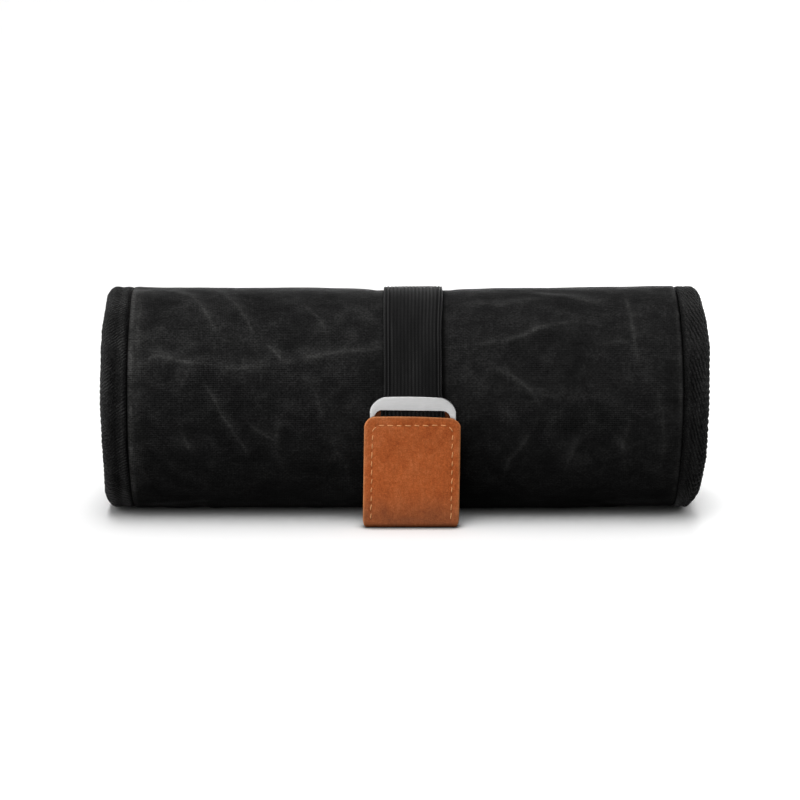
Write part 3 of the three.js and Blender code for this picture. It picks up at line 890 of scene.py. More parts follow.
# ------------------------------------------------------------------ binding tape over both ends
def hermite(points, n):
    """Catmull-Rom curve through the points, n samples even in the parameter."""
    p = np.array(points, float)
    m = np.empty_like(p)
    m[1:-1] = (p[2:] - p[:-2]) / 2
    m[0], m[-1] = p[1] - p[0], p[-1] - p[-2]
    t = np.linspace(0, len(p) - 1, n)
    i = np.minimum(t.astype(int), len(p) - 2)
    f = (t - i)[:, None]
    return ((2 * f ** 3 - 3 * f ** 2 + 1) * p[i] + (f ** 3 - 2 * f ** 2 + f) * m[i]
            + (-2 * f ** 3 + 3 * f ** 2) * p[i + 1] + (f ** 3 - f ** 2) * m[i + 1])


def tape_section(T, n=500):
    k = 1.0 if T > 5 else 0.6
    return hermite([(116.6, -1.1), (116.72, -0.62), (117.15, -0.20), (118.2, -0.02), (119.8, -0.14), (121.2, -0.26), (122.8, -0.03), (124.4, 0.12),
                    (125.7, -0.14), (126.8, -0.78 * k), (127.8, -1.9 * k), (128.6, -3.3 * k), (128.9, -4.5 * k),
                    (128.3, -T + 0.55 if T > 5 else -T + 0.35), (126.9, -T - 0.45), (124.6, -T - 0.85), (122.0, -T - 0.95), (119.4, -T - 0.85),
                    (117.7, -T - 0.5), (116.9, -T - 0.05), (116.5, -T + 0.35)], n)


S66, S36 = tape_section(6.6), tape_section(3.6)
_len = np.concatenate([[0], np.cumsum(np.linalg.norm(np.diff(S66, axis=0), axis=1))])
TAPE_WIDTH = float(_len[-1])
n_tape = Noise(21)


def tape_grid(side, ph, m, relief):
    """Outer and inner faces of the tape; side is -1 left, 1 right."""
    st = np.linspace(0, TAPE_WIDTH, m)
    A = np.stack([np.interp(st, _len, S66[:, i]) for i in (0, 1)], -1)
    B = np.stack([np.interp(st, _len, S36[:, i]) for i in (0, 1)], -1)
    w = ((thick(ph) - 3.6) / 3.0)[:, None, None]
    C = A[None] * w + B[None] * (1 - w)
    tan = np.gradient(C, axis=1)
    nrm = np.stack([-tan[..., 1], tan[..., 0]], -1)
    nrm /= np.linalg.norm(nrm, axis=-1, keepdims=True)
    s = arc(ph)[:, None]
    S = np.broadcast_to(st[None, :], (len(ph), m))
    al = math.radians(40 if side < 0 else 21)
    wob = 0.20 * n_tape(S / 5.0, s / 7.0) + 0.12 * n_tape(S / 1.9 + 7, s / 2.4)
    phase = (S * math.cos(al) + s * math.sin(al)) / (1.15 if side < 0 else 1.6) + wob
    along = (-S * math.sin(al) + s * math.cos(al)) / (3.2 if side < 0 else 4.4) + 0.5 * (np.floor(phase + 0.5) % 2)
    float_ = 0.5 + 0.5 * np.cos(TAU * (along + 0.30 * n_tape(S / 3.0 + 60, s / 4.0)))               # the ribs run on; the gaps between them are rows of short dark dashes
    worn = np.clip(0.72 + 0.55 * n_tape(S / 6.0 + 50, s / 9.0), 0.30, 1.0)
    gap = (0.30 + 0.70 * float_) * (1 - np.abs(np.cos(np.pi * phase)) ** 0.75) * worn
    ridge = 1 - gap * (1.15 if side < 0 else 1.55) * (1 - 0.6 * bump(C[..., 0] - 118.5, 2.2))
    face = (smooth(300, 325, ph) * (1 - smooth(385, 420, ph)))[:, None] * (C[..., 1] > -5.0)      # hollow beside the seam, painted darker as shade, and rubbed on the outer bead
    dip = bump(C[..., 0] - (121.8 if side < 0 else 120.6), 2.4) * face
    rub = bump(C[..., 0] - 128.0, 2.0) * face
    fade = smooth(1.0, 3.0, S) * (1 - smooth(TAPE_WIDTH - 4, TAPE_WIDTH - 1.5, S))
    lump = 0.12 * n_tape(S / 9.0 + 30, s / 15.0) + 0.10 * n_tape(S / 4.0 + 11, s / 5.0) + 0.07 * relief * n_tape(S / 1.3 + 21, s / 1.6)
    lobe = np.abs(np.cos(np.pi * s / 3.0 + 1.3 * n_tape(np.full_like(s, 4.0), s / 8.0))) ** 0.7 - 0.7
    low = 0.45 + 0.55 * (1 - smooth(358, 392, ph))[:, None]
    scallop = (0.42 if side < 0 else 0.80) * relief * lobe * low * bump(C[..., 0] - 127.2, 3.2) * (C[..., 1] > -5.0)
    h = (relief * 0.40 * (ridge - 0.80) * fade + scallop - 0.32 * dip
         + lump * smooth(0, 4, S) * (1 - smooth(TAPE_WIDTH - 4, TAPE_WIDTH, S)))
    out = C + nrm * h[..., None]
    inn = C - nrm * 0.85
    PH = np.broadcast_to(ph[:, None], (len(ph), m))
    outer = 1 - smooth(TAPE_WIDTH * 0.40, TAPE_WIDTH * 0.56, S)                # the leg on the canvas side

    lift = (0.40 if side > 0 else 0.0) * smooth(405, 432, PH) * (1 - smooth(490, 515, PH)) * bump(C[..., 0] - 120.8, 3.6)

    def shaped(q):
        x = side * q[..., 0]
        x = x + outer * (seam_warp(x, PH) - x)
        return place(x + side * END_OUT[side](PH) * smooth(118.5, 127.0, np.abs(q[..., 0])), PH, q[..., 1] + outer * (belly(x, PH) + lift))
    # the ridge attribute carries painted shade in the hollow beside the seam and over the top of the left tape; the
    # groove attribute is painted shade at the seam edge and on the underside
    return (shaped(out), shaped(inn),
            np.stack([S, np.broadcast_to(s, S.shape)], -1) * 0.001, (ridge - 0.42) * fade - 0.20 * dip + 0.14 * rub - (0.14 if side < 0 else 0.0) * smooth(390, 416, PH) * (1 - smooth(470, 500, PH)), np.maximum(1 - smooth(0.5, 1.3, S), painted_underside_shade(ph)[:, None] + 0 * S))


for side, word in ((-1, "left"), (1, "right")):
    for k in range(len(CUTS) - 1):
        fine = k <= 5
        ph = rows(CUTS[k], CUTS[k + 1], 0.65 if fine else 2.2)
        step = ph[1] - ph[0]
        ext = np.clip(np.concatenate([[ph[0] - step], ph, [ph[-1] + step]]), 150, 1089)
        PO, PI, uv, ridge, groove = tape_grid(side, ext, 92 if fine else 44, 1.0 if fine else 0.0)
        ok = slice(1, -1)
        NO = grid_normals(PO)
        i, j = len(ph) // 2, PO.shape[1] // 3
        flip = NO[i, j] @ (PO[i, j] - PI[i, j]) < 0
        NO = -NO if flip else NO
        if k == 0:
            NO[1] = NO[2]
        # groove is painted shade; ridge holds some painted shade too
        o = slab(piece_name("tape_" + word, k), PO[ok], PI[ok], uv[ok], {"ridge": ridge[ok], "groove": groove[ok], "twill": np.full_like(ridge[ok], 1.0 if side < 0 else 0.0)}, flip=flip, normals=(NO[ok], -NO[ok]))
        finish_piece(o, TAPE)
        carry(o, k)
        if k < len(NAMES):
            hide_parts(f"binding_{word}_{NAMES[k]}")


# ------------------------------------------------------------------ elastic strap
STRAP_R = pchip([(0, 48.7), (12, 48.3), (20, 47.7), (30, 47.35), (60, 47.3), (80, 47.1), (90, 46.9), (100, 46.65), (110, 46.5), (120, 46.6),
                 (130, 47.1), (140, 48.1), (148, 49.75), (153, 49.9), (157, 49.45), (161, 49.15)])


def strap_path():
    """Inner face of the strap in the (y, z) plane, from the flap to inside the tab, with the angle where it still lies on the roll."""
    ph = np.arange(160.5, 12.0, -0.5)
    r, t = STRAP_R(ph), np.radians(ph)
    pts = [np.stack([-r * np.cos(t), AXIS + r * np.sin(t)], -1), np.array([(-48.55, 53.4), (-49.45, 49.6), (-50.0, 46.0), (-50.3, 43.0)])]
    p = np.concatenate(pts)
    d = np.concatenate([[0], np.cumsum(np.linalg.norm(np.diff(p, axis=0), axis=1))])
    q = np.linspace(0, d[-1], 1200)
    p = np.stack([np.interp(q, d, p[:, 0]), np.interp(q, d, p[:, 1])], -1)
    for _ in range(40):
        p[1:-1] = 0.25 * p[:-2] + 0.5 * p[1:-1] + 0.25 * p[2:]
    d = np.concatenate([[0], np.cumsum(np.linalg.norm(np.diff(p, axis=0), axis=1))])
    return p, d


PATH, PATH_D = strap_path()
PATH_PHI = np.degrees(np.arctan2(PATH[:, 1] - AXIS, -PATH[:, 0]))


def strap_at(d):
    return np.stack([np.interp(d, PATH_D, PATH[:, 0]), np.interp(d, PATH_D, PATH[:, 1])], -1)


def strap_d(phi):
    return float(np.interp(-phi, -PATH_PHI[:1150], PATH_D[:1150]))


n_strap = Noise(31)
RIB = 1.5


def strap_piece(name, d0, d1):
    n = max(4, int((d1 - d0) / 1.1) + 1)
    d = np.linspace(d0, d1, n)
    step = d[1] - d[0]
    d = np.concatenate([[d0 - step], d, [d1 + step]])      # one row beyond each end, for the normals
    e = 0.3
    p = strap_at(np.clip(d, 0, PATH_D[-1]))
    tan = strap_at(np.minimum(np.maximum(d, 0) + e, PATH_D[-1])) - strap_at(np.maximum(np.minimum(d, PATH_D[-1]) - e, 0))
    tan /= np.linalg.norm(tan, axis=-1, keepdims=True)
    p = p + tan * (d - np.clip(d, 0, PATH_D[-1]))[:, None]
    nrm = np.stack([tan[:, 1], -tan[:, 0]], -1)            # away from the roll
    if nrm[0] @ (p[0] - np.array([0, AXIS])) < 0:
        nrm = -nrm
    u = np.concatenate([[-12.5, -12.45, -12.3], np.linspace(-12.1, 12.1, 112), [12.3, 12.45, 12.5]])
    a = np.abs(u)
    ribs = np.abs(np.cos(np.pi * u / RIB)) ** 0.9
    core = 1 - smooth(9.5, 9.9, a)
    line = bump(a - 10.6, 0.30)
    furrow = bump(a - 9.95, 0.26) + 0.9 * bump(a - 11.25, 0.26)
    bead = bump(a - 12.12, 0.40)
    top = 1.18 + 0.20 * ribs * core + 0.26 * line - 0.20 * furrow + 0.10 * (1 - core) + 0.06 * bead + 0.24 * (1 - (u / 12.5) ** 2)
    edge = np.sqrt(np.clip(1 - np.clip((a - 12.05) / 0.45, 0, 1) ** 2, 0, 1))
    D, U = np.meshgrid(d, u, indexing="ij")
    wave = 0.10 * n_strap(U / 9, D / 14)
    out = 0.55 + (top[None, :] - 0.55) * edge[None, :] + wave
    inn = np.broadcast_to(0.45 - 0.40 * edge[None, :], out.shape)
    widen = 1 + 0.11 * smooth(PATH_D[-1] - 14, PATH_D[-1] - 6, D)
    lean = 0.18 * n_strap(np.full_like(D, 3.0), D / 40)
    over = smooth(38, 78, np.interp(D, PATH_D, PATH_PHI))                    # spreads a little over the top
    UX = np.where(U > 10.6, 10.6 + (U - 10.6) * 0.70, U)                    # the right selvedge is turned a little away
    X = STRAP_X - 0.15 + UX * widen + lean + 0.50 * over * (1 + U / 12.5)
    PO = np.stack([X, p[:, 0][:, None] + nrm[:, 0][:, None] * out, p[:, 1][:, None] + nrm[:, 1][:, None] * out], -1)
    PI = np.stack([X, p[:, 0][:, None] + nrm[:, 0][:, None] * inn, p[:, 1][:, None] + nrm[:, 1][:, None] * inn], -1)
    NO = grid_normals(PO)
    i, j = n // 2, len(u) // 2
    flip = NO[i, j] @ (PO[i, j] - PI[i, j]) < 0
    NO = -NO if flip else NO
    NI = -grid_normals(PI) if not flip else grid_normals(PI)
    # painted light in the strap's ridge attribute: the rib crests and the selvedge's raised line and bead are painted
    # paler, its furrows painted darker, and the crests' highlight comes and goes in patches
    patchy_rib_highlight = np.clip(0.82 + 0.45 * n_strap(U / 6.0 + 17, D / 20), 0.40, 1.15)
    ridge = (0.95 * ribs * core)[None, :] * patchy_rib_highlight + (1.05 * line + 0.28 * (1 - core) - 0.55 * furrow + 0.66 * bead)[None, :]
    ok = slice(1, -1)
    o = slab(name, PO[ok], PI[ok], np.stack([U, D], -1)[ok] * 0.001, {"ridge": ridge[ok]}, flip=flip, normals=(NO[ok], NI[ok]))
    return finish_piece(o, ELASTIC)


D_A, D_B = strap_d(110.4), strap_d(41.5)


strap_a = strap_piece("strap_sewn_end", 0.0, D_A)
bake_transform(strap_a)
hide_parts("strap_back")
strap_b = strap_piece("strap_over_top", D_A, D_B)
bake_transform(strap_b)
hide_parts("strap_front")
strap_c = strap_piece("strap_front_end", D_B, float(PATH_D[-1]))
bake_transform(strap_c)
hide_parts("strap_end")


# ------------------------------------------------------------------ stitches
def stitches(name, items, material, width=0.62, height=0.42):
    """Many short stitches in one mesh. items: (centre, direction, normal, length, how far its ends bend away), in mm."""
    V, Q, T, UV = [], [], [], []
    nl, nr = 7, 8
    for k, (c, d, n, ln, *away) in enumerate(items):
        c, d, n = (np.array(v, float) for v in (c, d, n))
        away = np.array(away[0] if away else (0, 0, 0), float)
        d /= np.linalg.norm(d)
        n = n - d * (n @ d)
        n /= np.linalg.norm(n)
        b = np.cross(d, n)
        base = len(V)
        for i in range(nl):
            s = -1 + 2 * i / (nl - 1)
            f = math.sqrt(max(0.0, 1 - s ** 4))
            w = max(0.12, f)
            lift = -0.45 * abs(s) ** 3
            for j in range(nr):
                a = TAU * j / nr
                V.append(c + d * (s * ln / 2) + away * (s * s) + b * (math.cos(a) * width * 0.5 * w) + n * (math.sin(a) * height * 0.5 * w + lift * height))
                UV.append((k * 0.004 + s * ln / 2000, a * 0.0003))
        for i in range(nl - 1):
            for j in range(nr):
                p, q = base + i * nr + j, base + i * nr + (j + 1) % nr
                Q.append((p, p + nr, q + nr, q))
        for i, rev in ((0, False), (nl - 1, True)):
            V.append(np.mean(V[base + i * nr: base + i * nr + nr], axis=0))
            UV.append((k * 0.004, 0))
            m = len(V) - 1
            for j in range(nr):
                p, q = base + i * nr + j, base + i * nr + (j + 1) % nr
                T.append((m, p, q) if not rev else (m, q, p))
    V = np.array(V)
    # outward faces: the first side quad of a stitch has to face away from its line
    a, b_, c_ = V[Q[0][0]], V[Q[0][1]], V[Q[0][2]]
    cen = np.array(items[0][0], float)
    if np.cross(b_ - a, c_ - a) @ ((a + c_) / 2 - cen) < 0:
        Q = [q[::-1] for q in Q]
        T = [t[::-1] for t in T]
    o = new_object(name, V, np.array(Q), np.array(UV), None, None, np.array(T))
    return finish_piece(o, material)


# the strap's end is sewn to the flap with a box of dark thread
def sewn_box():
    items = []
    d0, d1 = strap_d(158.8), strap_d(151.4)

    def top_point(x, d):
        p = strap_at(np.array([d]))[0]
        t = strap_at(np.array([d + 0.3]))[0] - p
        t /= np.linalg.norm(t)
        n = np.array([t[1], -t[0]])
        if n @ (p - np.array([0, AXIS])) < 0:
            n = -n
        q = p + n * 1.62
        return np.array([x, q[0], q[1]]), np.array([0, t[0], t[1]]), np.array([0, n[0], n[1]])
    for d in (d0, d1):
        for x in np.arange(-9.9, 10.0, 2.2):
            c, t, n = top_point(STRAP_X + x, d)
            items.append((c, (1, 0, 0), n, 1.7))
    for x in (-10.9, 10.9):
        for d in np.linspace(d0 + 1.2, d1 - 1.2, 3):
            c, t, n = top_point(STRAP_X + x, d)
            items.append((c, t, n, 1.7))
    return items


sew = stitches("strap_box_stitch", sewn_box(), THREAD_BLACK, 0.5, 0.4)
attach(sew, "flap")


# ------------------------------------------------------------------ metal ring
TAB_X = 3.55            # the tab hangs a little left of the strap's middle, and leans slightly


def rounded_rect(w, z0, z1, r_top, r_low, na=14, ne=10):
    """Closed outline of a rectangle with round corners, (x, z) points counter-clockwise from the lower right edge."""
    pts = []

    def corner(cx, cz, r, a0):
        for i in range(na + 1):
            a = math.radians(a0 + 90 * i / na)
            pts.append((cx + r * math.cos(a), cz + r * math.sin(a)))

    def edge(a, b):
        for i in range(1, ne):
            t = i / ne
            pts.append((a[0] + (b[0] - a[0]) * t, a[1] + (b[1] - a[1]) * t))
    h = w / 2
    corner(h - r_low, z0 + r_low, r_low, -90)
    edge((h, z0 + r_low), (h, z1 - r_top))
    corner(h - r_top, z1 - r_top, r_top, 0)
    edge((h - r_top, z1), (-h + r_top, z1))
    corner(-h + r_top, z1 - r_top, r_top, 90)
    edge((-h, z1 - r_top), (-h, z0 + r_low))
    corner(-h + r_low, z0 + r_low, r_low, 180)
    edge((-h + r_low, z0), (h - r_low, z0))
    return np.array(pts)


def make_ring():
    out = rounded_rect(36.2, 43.8, 55.45, 6.6, 2.0)
    out[:, 1] -= 0.70 * (out[:, 0] / 18.1) ** 2 * smooth(48.0, 54.0, out[:, 1])      # the top bar is slightly arched
    win = rounded_rect(32.0, 44.9, 49.62, 3.3, 1.2) - np.array([0.25, 0.0])
    y0, y1, bev = -53.7, -52.15, 0.24
    # section points: fraction from outer to inner outline moved by a distance, and depth
    n = len(out)

    def shift(loop, d):
        """The loop moved inwards (towards its middle) by d."""
        nx, pv = np.roll(loop, -1, 0), np.roll(loop, 1, 0)
        t = nx - pv
        t /= np.maximum(np.linalg.norm(t, axis=1, keepdims=True), 1e-9)
        return loop + np.stack([-t[:, 1], t[:, 0]], -1) * d
    rings = []
    for a in np.linspace(0, 90, 6):
        c, s = math.cos(math.radians(a)), math.sin(math.radians(a))
        rings.append((shift(out, bev * (1 - c)), y0 + bev * (1 - s)))     # outer front round
    rings.append((out * 0.55 + win * 0.45, y0 - 0.05))
    for a in np.linspace(90, 0, 6):
        c, s = math.cos(math.radians(a)), math.sin(math.radians(a))
        rings.append((shift(win, -bev * 0.8 * (1 - c)), y0 + bev * 0.8 * (1 - s)))  # window front round
    for a in np.linspace(0, 90, 4):
        c, s = math.cos(math.radians(a)), math.sin(math.radians(a))
        rings.append((shift(win, -0.3 * (1 - c)), y1 - 0.3 * (1 - s)))
    for a in np.linspace(90, 0, 4):
        c, s = math.cos(math.radians(a)), math.sin(math.radians(a))
        rings.append((shift(out, 0.3 * (1 - c)), y1 - 0.3 * (1 - s)))
    V = np.concatenate([np.stack([p[:, 0] + TAB_X + 0.15, np.full(n, y), p[:, 1] - 0.013 * p[:, 0]], -1) for p, y in rings])
    m = len(rings)
    i, j = np.meshgrid(np.arange(m), np.arange(n), indexing="ij")
    a, b = i * n + j, i * n + (j + 1) % n
    c, d = ((i + 1) % m) * n + (j + 1) % n, ((i + 1) % m) * n + j
    Q = np.stack([a, b, c, d], -1).reshape(-1, 4)
    # the front face has to look towards -y
    k = (6 * n + 40)
    q = Q[k]
    if np.cross(V[q[1]] - V[q[0]], V[q[2]] - V[q[0]])[1] > 0:
        Q = Q[:, ::-1]
    o = new_object("ring_satin", V, Q, np.stack([V[:, 0], V[:, 2]], -1) * 0.001)
    finish_piece(o, RING_METAL)
    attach(o, "ring")
    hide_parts("ring")
    return o


ring_piece = make_ring()

# ------------------------------------------------------------------ leather tab
TAB_HALF = 20.35        # half width
TAB_TOP = 47.15
FRONT_Y, BACK_Y = -54.8, -49.55     # middle of the front and back layers
LEATHER_T = 1.45
FOLD_R = (BACK_Y - FRONT_Y) / 2
FOLD_Z = 2.30           # where the flat layers turn into the fold
n_tab = Noise(41)


def tab_path():
    """Middle line of the leather in (y, z): down the front, round the fold, up the back; the points are about 0.55 mm apart."""
    pts = [(FRONT_Y, z) for z in np.linspace(TAB_TOP, FOLD_Z, 60)]
    cy = (FRONT_Y + BACK_Y) / 2
    for a in np.linspace(0, 180, 34)[1:-1]:
        c, t = math.cos(math.radians(a)), math.sin(math.radians(a))
        pts.append((cy - FOLD_R * math.copysign(abs(c) ** 0.52, c), FOLD_Z - 1.85 * t ** 0.52))
    pts += [(BACK_Y, z) for z in np.linspace(FOLD_Z, 51.6, 64)]
    p = np.array(pts)
    d = np.concatenate([[0], np.cumsum(np.linalg.norm(np.diff(p, axis=0), axis=1))])
    return p, d


TPATH, TPATH_D = tab_path()
T_FRONT = TAB_TOP - FOLD_Z                            # length of the flat front
T_BACK0 = float(TPATH_D[-1] - (51.6 - FOLD_Z))        # where the flat back starts
T_END = float(TPATH_D[-1])


def round_end(d, r):
    """How far a round corner of radius r pulls the side in at a distance d from the end."""
    d = np.clip(d, 0, r)
    return r - np.sqrt(np.maximum(r * r - (r - d) ** 2, 0))


def tab_half(v):
    """Half width of the leather at a distance v along its middle line."""
    h = TAB_HALF - round_end(v, 4.6)
    h = h - 1.5 * bump(v - (T_FRONT + T_BACK0) / 2, 2.5)   # the fold's corners are round
    back = T_END - v
    neck = 1 - smooth(8.0, 12.0, back)
    h = h - 4.0 * neck - round_end(back, 1.6)
    return h


def stitch_lines():
    """(x from the middle, distance from the top edge) of each stitch on the front layer, with its direction: one row round three sides."""
    r, top, side, low = 3.6, 3.55, 16.95, 44.2
    half = [(0.0, top), (side - r, top)]
    half += [(side - r + r * math.sin(a), top + r - r * math.cos(a)) for a in np.linspace(0, math.pi / 2, 9)[1:]]
    half += [(side, low)]
    h = np.array(half)
    line = np.concatenate([h[::-1] * np.array([-1, 1]), h[1:]])
    d = np.concatenate([[0], np.cumsum(np.linalg.norm(np.diff(line, axis=0), axis=1))])
    n = int(round(d[-1] / 3.72))
    out = []
    for i in range(n):
        c = (i + 0.5) * d[-1] / n
        p = [np.array([np.interp(c + e, d, line[:, k]) for k in (0, 1)]) for e in (-0.8, 0.0, 0.8)]
        t = p[2] - p[0]
        t /= np.linalg.norm(t)
        x, v = float(p[1][0]), float(p[1][1])
        if x < -15:                                        # the left row wanders a little
            x += float(0.30 * bump(v - 9, 4) + 0.55 * smooth(42, 45, v))
        out.append((x, v, (float(t[0]), float(t[1]))))
    return out


STITCHES = stitch_lines()


def tab_centre(z):
    return TAB_X + 0.015 * (z - 47.0)


def tab_front_height(x, v):
    """How far the front layer's face stands out at (x from the middle, distance from the top)."""
    soft = 0.35 * (1 - (x / TAB_HALF) ** 2) * smooth(0, 12, v) * (1 - smooth(36, 46, v))
    lump = 0.10 * n_tab(x / 11, v / 13) + 0.05 * n_tab(x / 4 + 9, v / 5)
    h = soft + lump
    pull = np.zeros_like(x)
    # a stitched channel follows the edge, with a small hole at each stitch's end
    side = bump(np.abs(x) - 16.95, 0.9) * smooth(6.0, 8.0, v) * (1 - smooth(43.5, 45.5, v))
    top = bump(v - 3.55, 0.9) * (1 - smooth(12.3, 13.8, np.abs(x)))
    turn = bump(np.hypot(np.abs(x) - 13.35, v - 7.15) - 3.6, 0.9) * smooth(12.3, 13.8, np.abs(x)) * (1 - smooth(6.4, 7.8, v))
    pull -= 0.07 * np.maximum(np.maximum(side, top), turn)
    for sx, sv, (dx, dv) in STITCHES:
        near = (np.abs(x - sx) < 3) & (np.abs(v - sv) < 3)
        if near.any():
            for e in (-1.55, 1.55):
                pull[near] -= 0.12 * np.exp(-((x[near] - sx - dx * e) ** 2 + (v[near] - sv - dv * e) ** 2) / 0.30)
    return h + pull


def make_tab():
    u = np.concatenate([[-1.0, -0.995, -0.985, -0.97, -0.95], np.linspace(-0.925, 0.925, 88), [0.95, 0.97, 0.985, 0.995, 1.0]])
    v = np.concatenate([[0, 0.06, 0.15, 0.3, 0.5, 0.75, 1.0, 1.3, 1.7, 2.1, 2.5, 2.9, 3.3, 3.8],
                        np.linspace(4.3, T_END - 7.5, 185), T_END - np.array([7.0, 6.5, 6, 5.5, 5, 4.5, 4, 3.4, 2.8, 2.2, 1.6, 1.1, 0.7, 0.4, 0.2, 0.08, 0.0])])
    V, U = np.meshgrid(v, u, indexing="ij")
    half = tab_half(v)
    X = U * half[:, None]
    p = np.stack([np.interp(v, TPATH_D, TPATH[:, 0]), np.interp(v, TPATH_D, TPATH[:, 1])], -1)
    e = 0.25
    tn = np.stack([np.interp(v + e, TPATH_D, TPATH[:, i]) - np.interp(v - e, TPATH_D, TPATH[:, i]) for i in (0, 1)], -1)
    tn /= np.linalg.norm(tn, axis=-1, keepdims=True)
    nrm = np.stack([tn[:, 1], -tn[:, 0]], -1)
    if nrm[10][0] > 0:
        nrm = -nrm                                     # the front layer's outside looks towards -y
    # distance to the cut edge, for the rounded rim
    dx = (1 - np.abs(U)) * half[:, None]
    dv = np.minimum(V, T_END - V)
    d = np.minimum(dx, dv)
    corner = np.hypot(np.maximum(0.6 - dx, 0), np.maximum(0.6 - dv, 0))
    rim = np.sqrt(np.clip(1 - np.clip(np.maximum(1 - d / 0.6, corner / 0.6), 0, 1) ** 2, 0, 1))
    T = LEATHER_T / 2
    face = tab_front_height(X, V) * (1 - smooth(T_FRONT - 1, T_FRONT + 5, V)) * smooth(0, 0.5, d)
    out = T * (0.12 + 0.88 * rim) + face
    inn = -T * (0.12 + 0.88 * rim) + 0.4 * np.minimum(face, 0)
    rise = (0.12 - 0.55 * (X / TAB_HALF) ** 2 - 0.42 * X / TAB_HALF) * (1 - smooth(0, 6, V))      # the cut top edge is slightly crowned
    XC = X + tab_centre(p[:, 1])[:, None]
    PO = np.stack([XC, p[:, 0][:, None] + nrm[:, 0][:, None] * out, p[:, 1][:, None] + nrm[:, 1][:, None] * out], -1)
    PI = np.stack([XC, p[:, 0][:, None] + nrm[:, 0][:, None] * inn, p[:, 1][:, None] + nrm[:, 1][:, None] * inn], -1)
    PO[..., 2] = np.maximum(PO[..., 2] + rise, -0.28)
    PI[..., 2] = np.maximum(PI[..., 2] + rise, 0.15)
    i, j = 60, len(u) // 2
    flip = grid_normals(PO)[i, j] @ (PO[i, j] - PI[i, j]) < 0
    # edge: paler at the cut edges, partly the raw edge's own colour and partly a painted highlight on the rim
    edge = np.clip(0.9 * bump(d, 0.42) + 0.30 * bump(d, 1.4) * (0.6 + 0.4 * n_tab(X / 2, V / 2)), 0, 1)
    low = smooth(T_FRONT - 16, T_FRONT + 2, V) * (1 - smooth(T_END - 12, T_END - 6, V))
    # dark is painted shade: along the fold and under it, over the back layer, in the stitch holes, along the top rim
    # and the upper face, low on the front, and at the back's end behind the ring
    dark = 0.35 * bump(V - (T_FRONT + 1.9), 0.9) + 0.5 * smooth(T_FRONT + 2.6, T_FRONT + 5.0, V) * (1 - smooth(T_BACK0 + 2, T_BACK0 + 8, V))
    dark = dark + 0.30 * bump(V, 0.7) + 0.07 * (1 - smooth(9, 20, V)) + 0.08 * smooth(T_FRONT - 8, T_FRONT, V) * (1 - smooth(T_FRONT + 2, T_FRONT + 4, V))
    holes = np.zeros_like(X)
    for sx, sv, (ddx, ddv) in STITCHES:
        for q in (-1.55, 1.55):
            holes = np.maximum(holes, np.exp(-((X - sx - ddx * q) ** 2 + (V - sv - ddv * q) ** 2) / 0.16))
    back = smooth(T_BACK0 + 2, T_BACK0 + 6, V)
    dark = np.clip(np.maximum(np.maximum(dark, 0.22 * back), 0.30 * holes * (1 - back)) + 0.55 * smooth(T_END - 12, T_END - 5, V), 0, 0.9)
    o = slab("tab_leather", PO, PI, np.stack([X, V], -1) * 0.001, {"edge": edge, "low": low, "dark": dark}, flip=flip)
    finish_piece(o, LEATHER)
    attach(o, "tab")
    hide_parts("tab_front", "tab_back", "tab_magnet")
    return o


tab_piece = make_tab()


def tab_stitches():
    items = []
    rs = np.random.RandomState(17)
    for x, v, (dx, dv) in STITCHES:
        a, b, c = rs.uniform(-1, 1, 3)                     # sewn by eye: no two stitches lie quite alike
        x, v = x + 0.10 * a * abs(dv), v + 0.10 * a * abs(dx)
        z = TAB_TOP - v
        xa, va = np.array([x]), np.array([v])
        y = FRONT_Y - LEATHER_T / 2 - float(tab_front_height(xa, va)[0]) - 0.02
        slant = (0.10 if abs(dv) > 0.9 else 0.05) + 0.09 * b
        if min(abs(dx), abs(dv)) > 0.3:                    # round the corner
            out = np.array([x - math.copysign(13.35, x), v - 7.15])
            out *= 0.26 / np.linalg.norm(out)
        else:
            out = np.array([-dv, dx]) * 0.07 * (a - b)
        items.append(((x + tab_centre(z), y, z), (dx - slant * dv, 0, -dv - slant * dx), (0, -1, 0), 2.70 + 0.35 * c, (-out[0], 0, out[1])))
    return items


thread = stitches("tab_stitches", tab_stitches(), THREAD, 0.38, 0.36)
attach(thread, "tab")


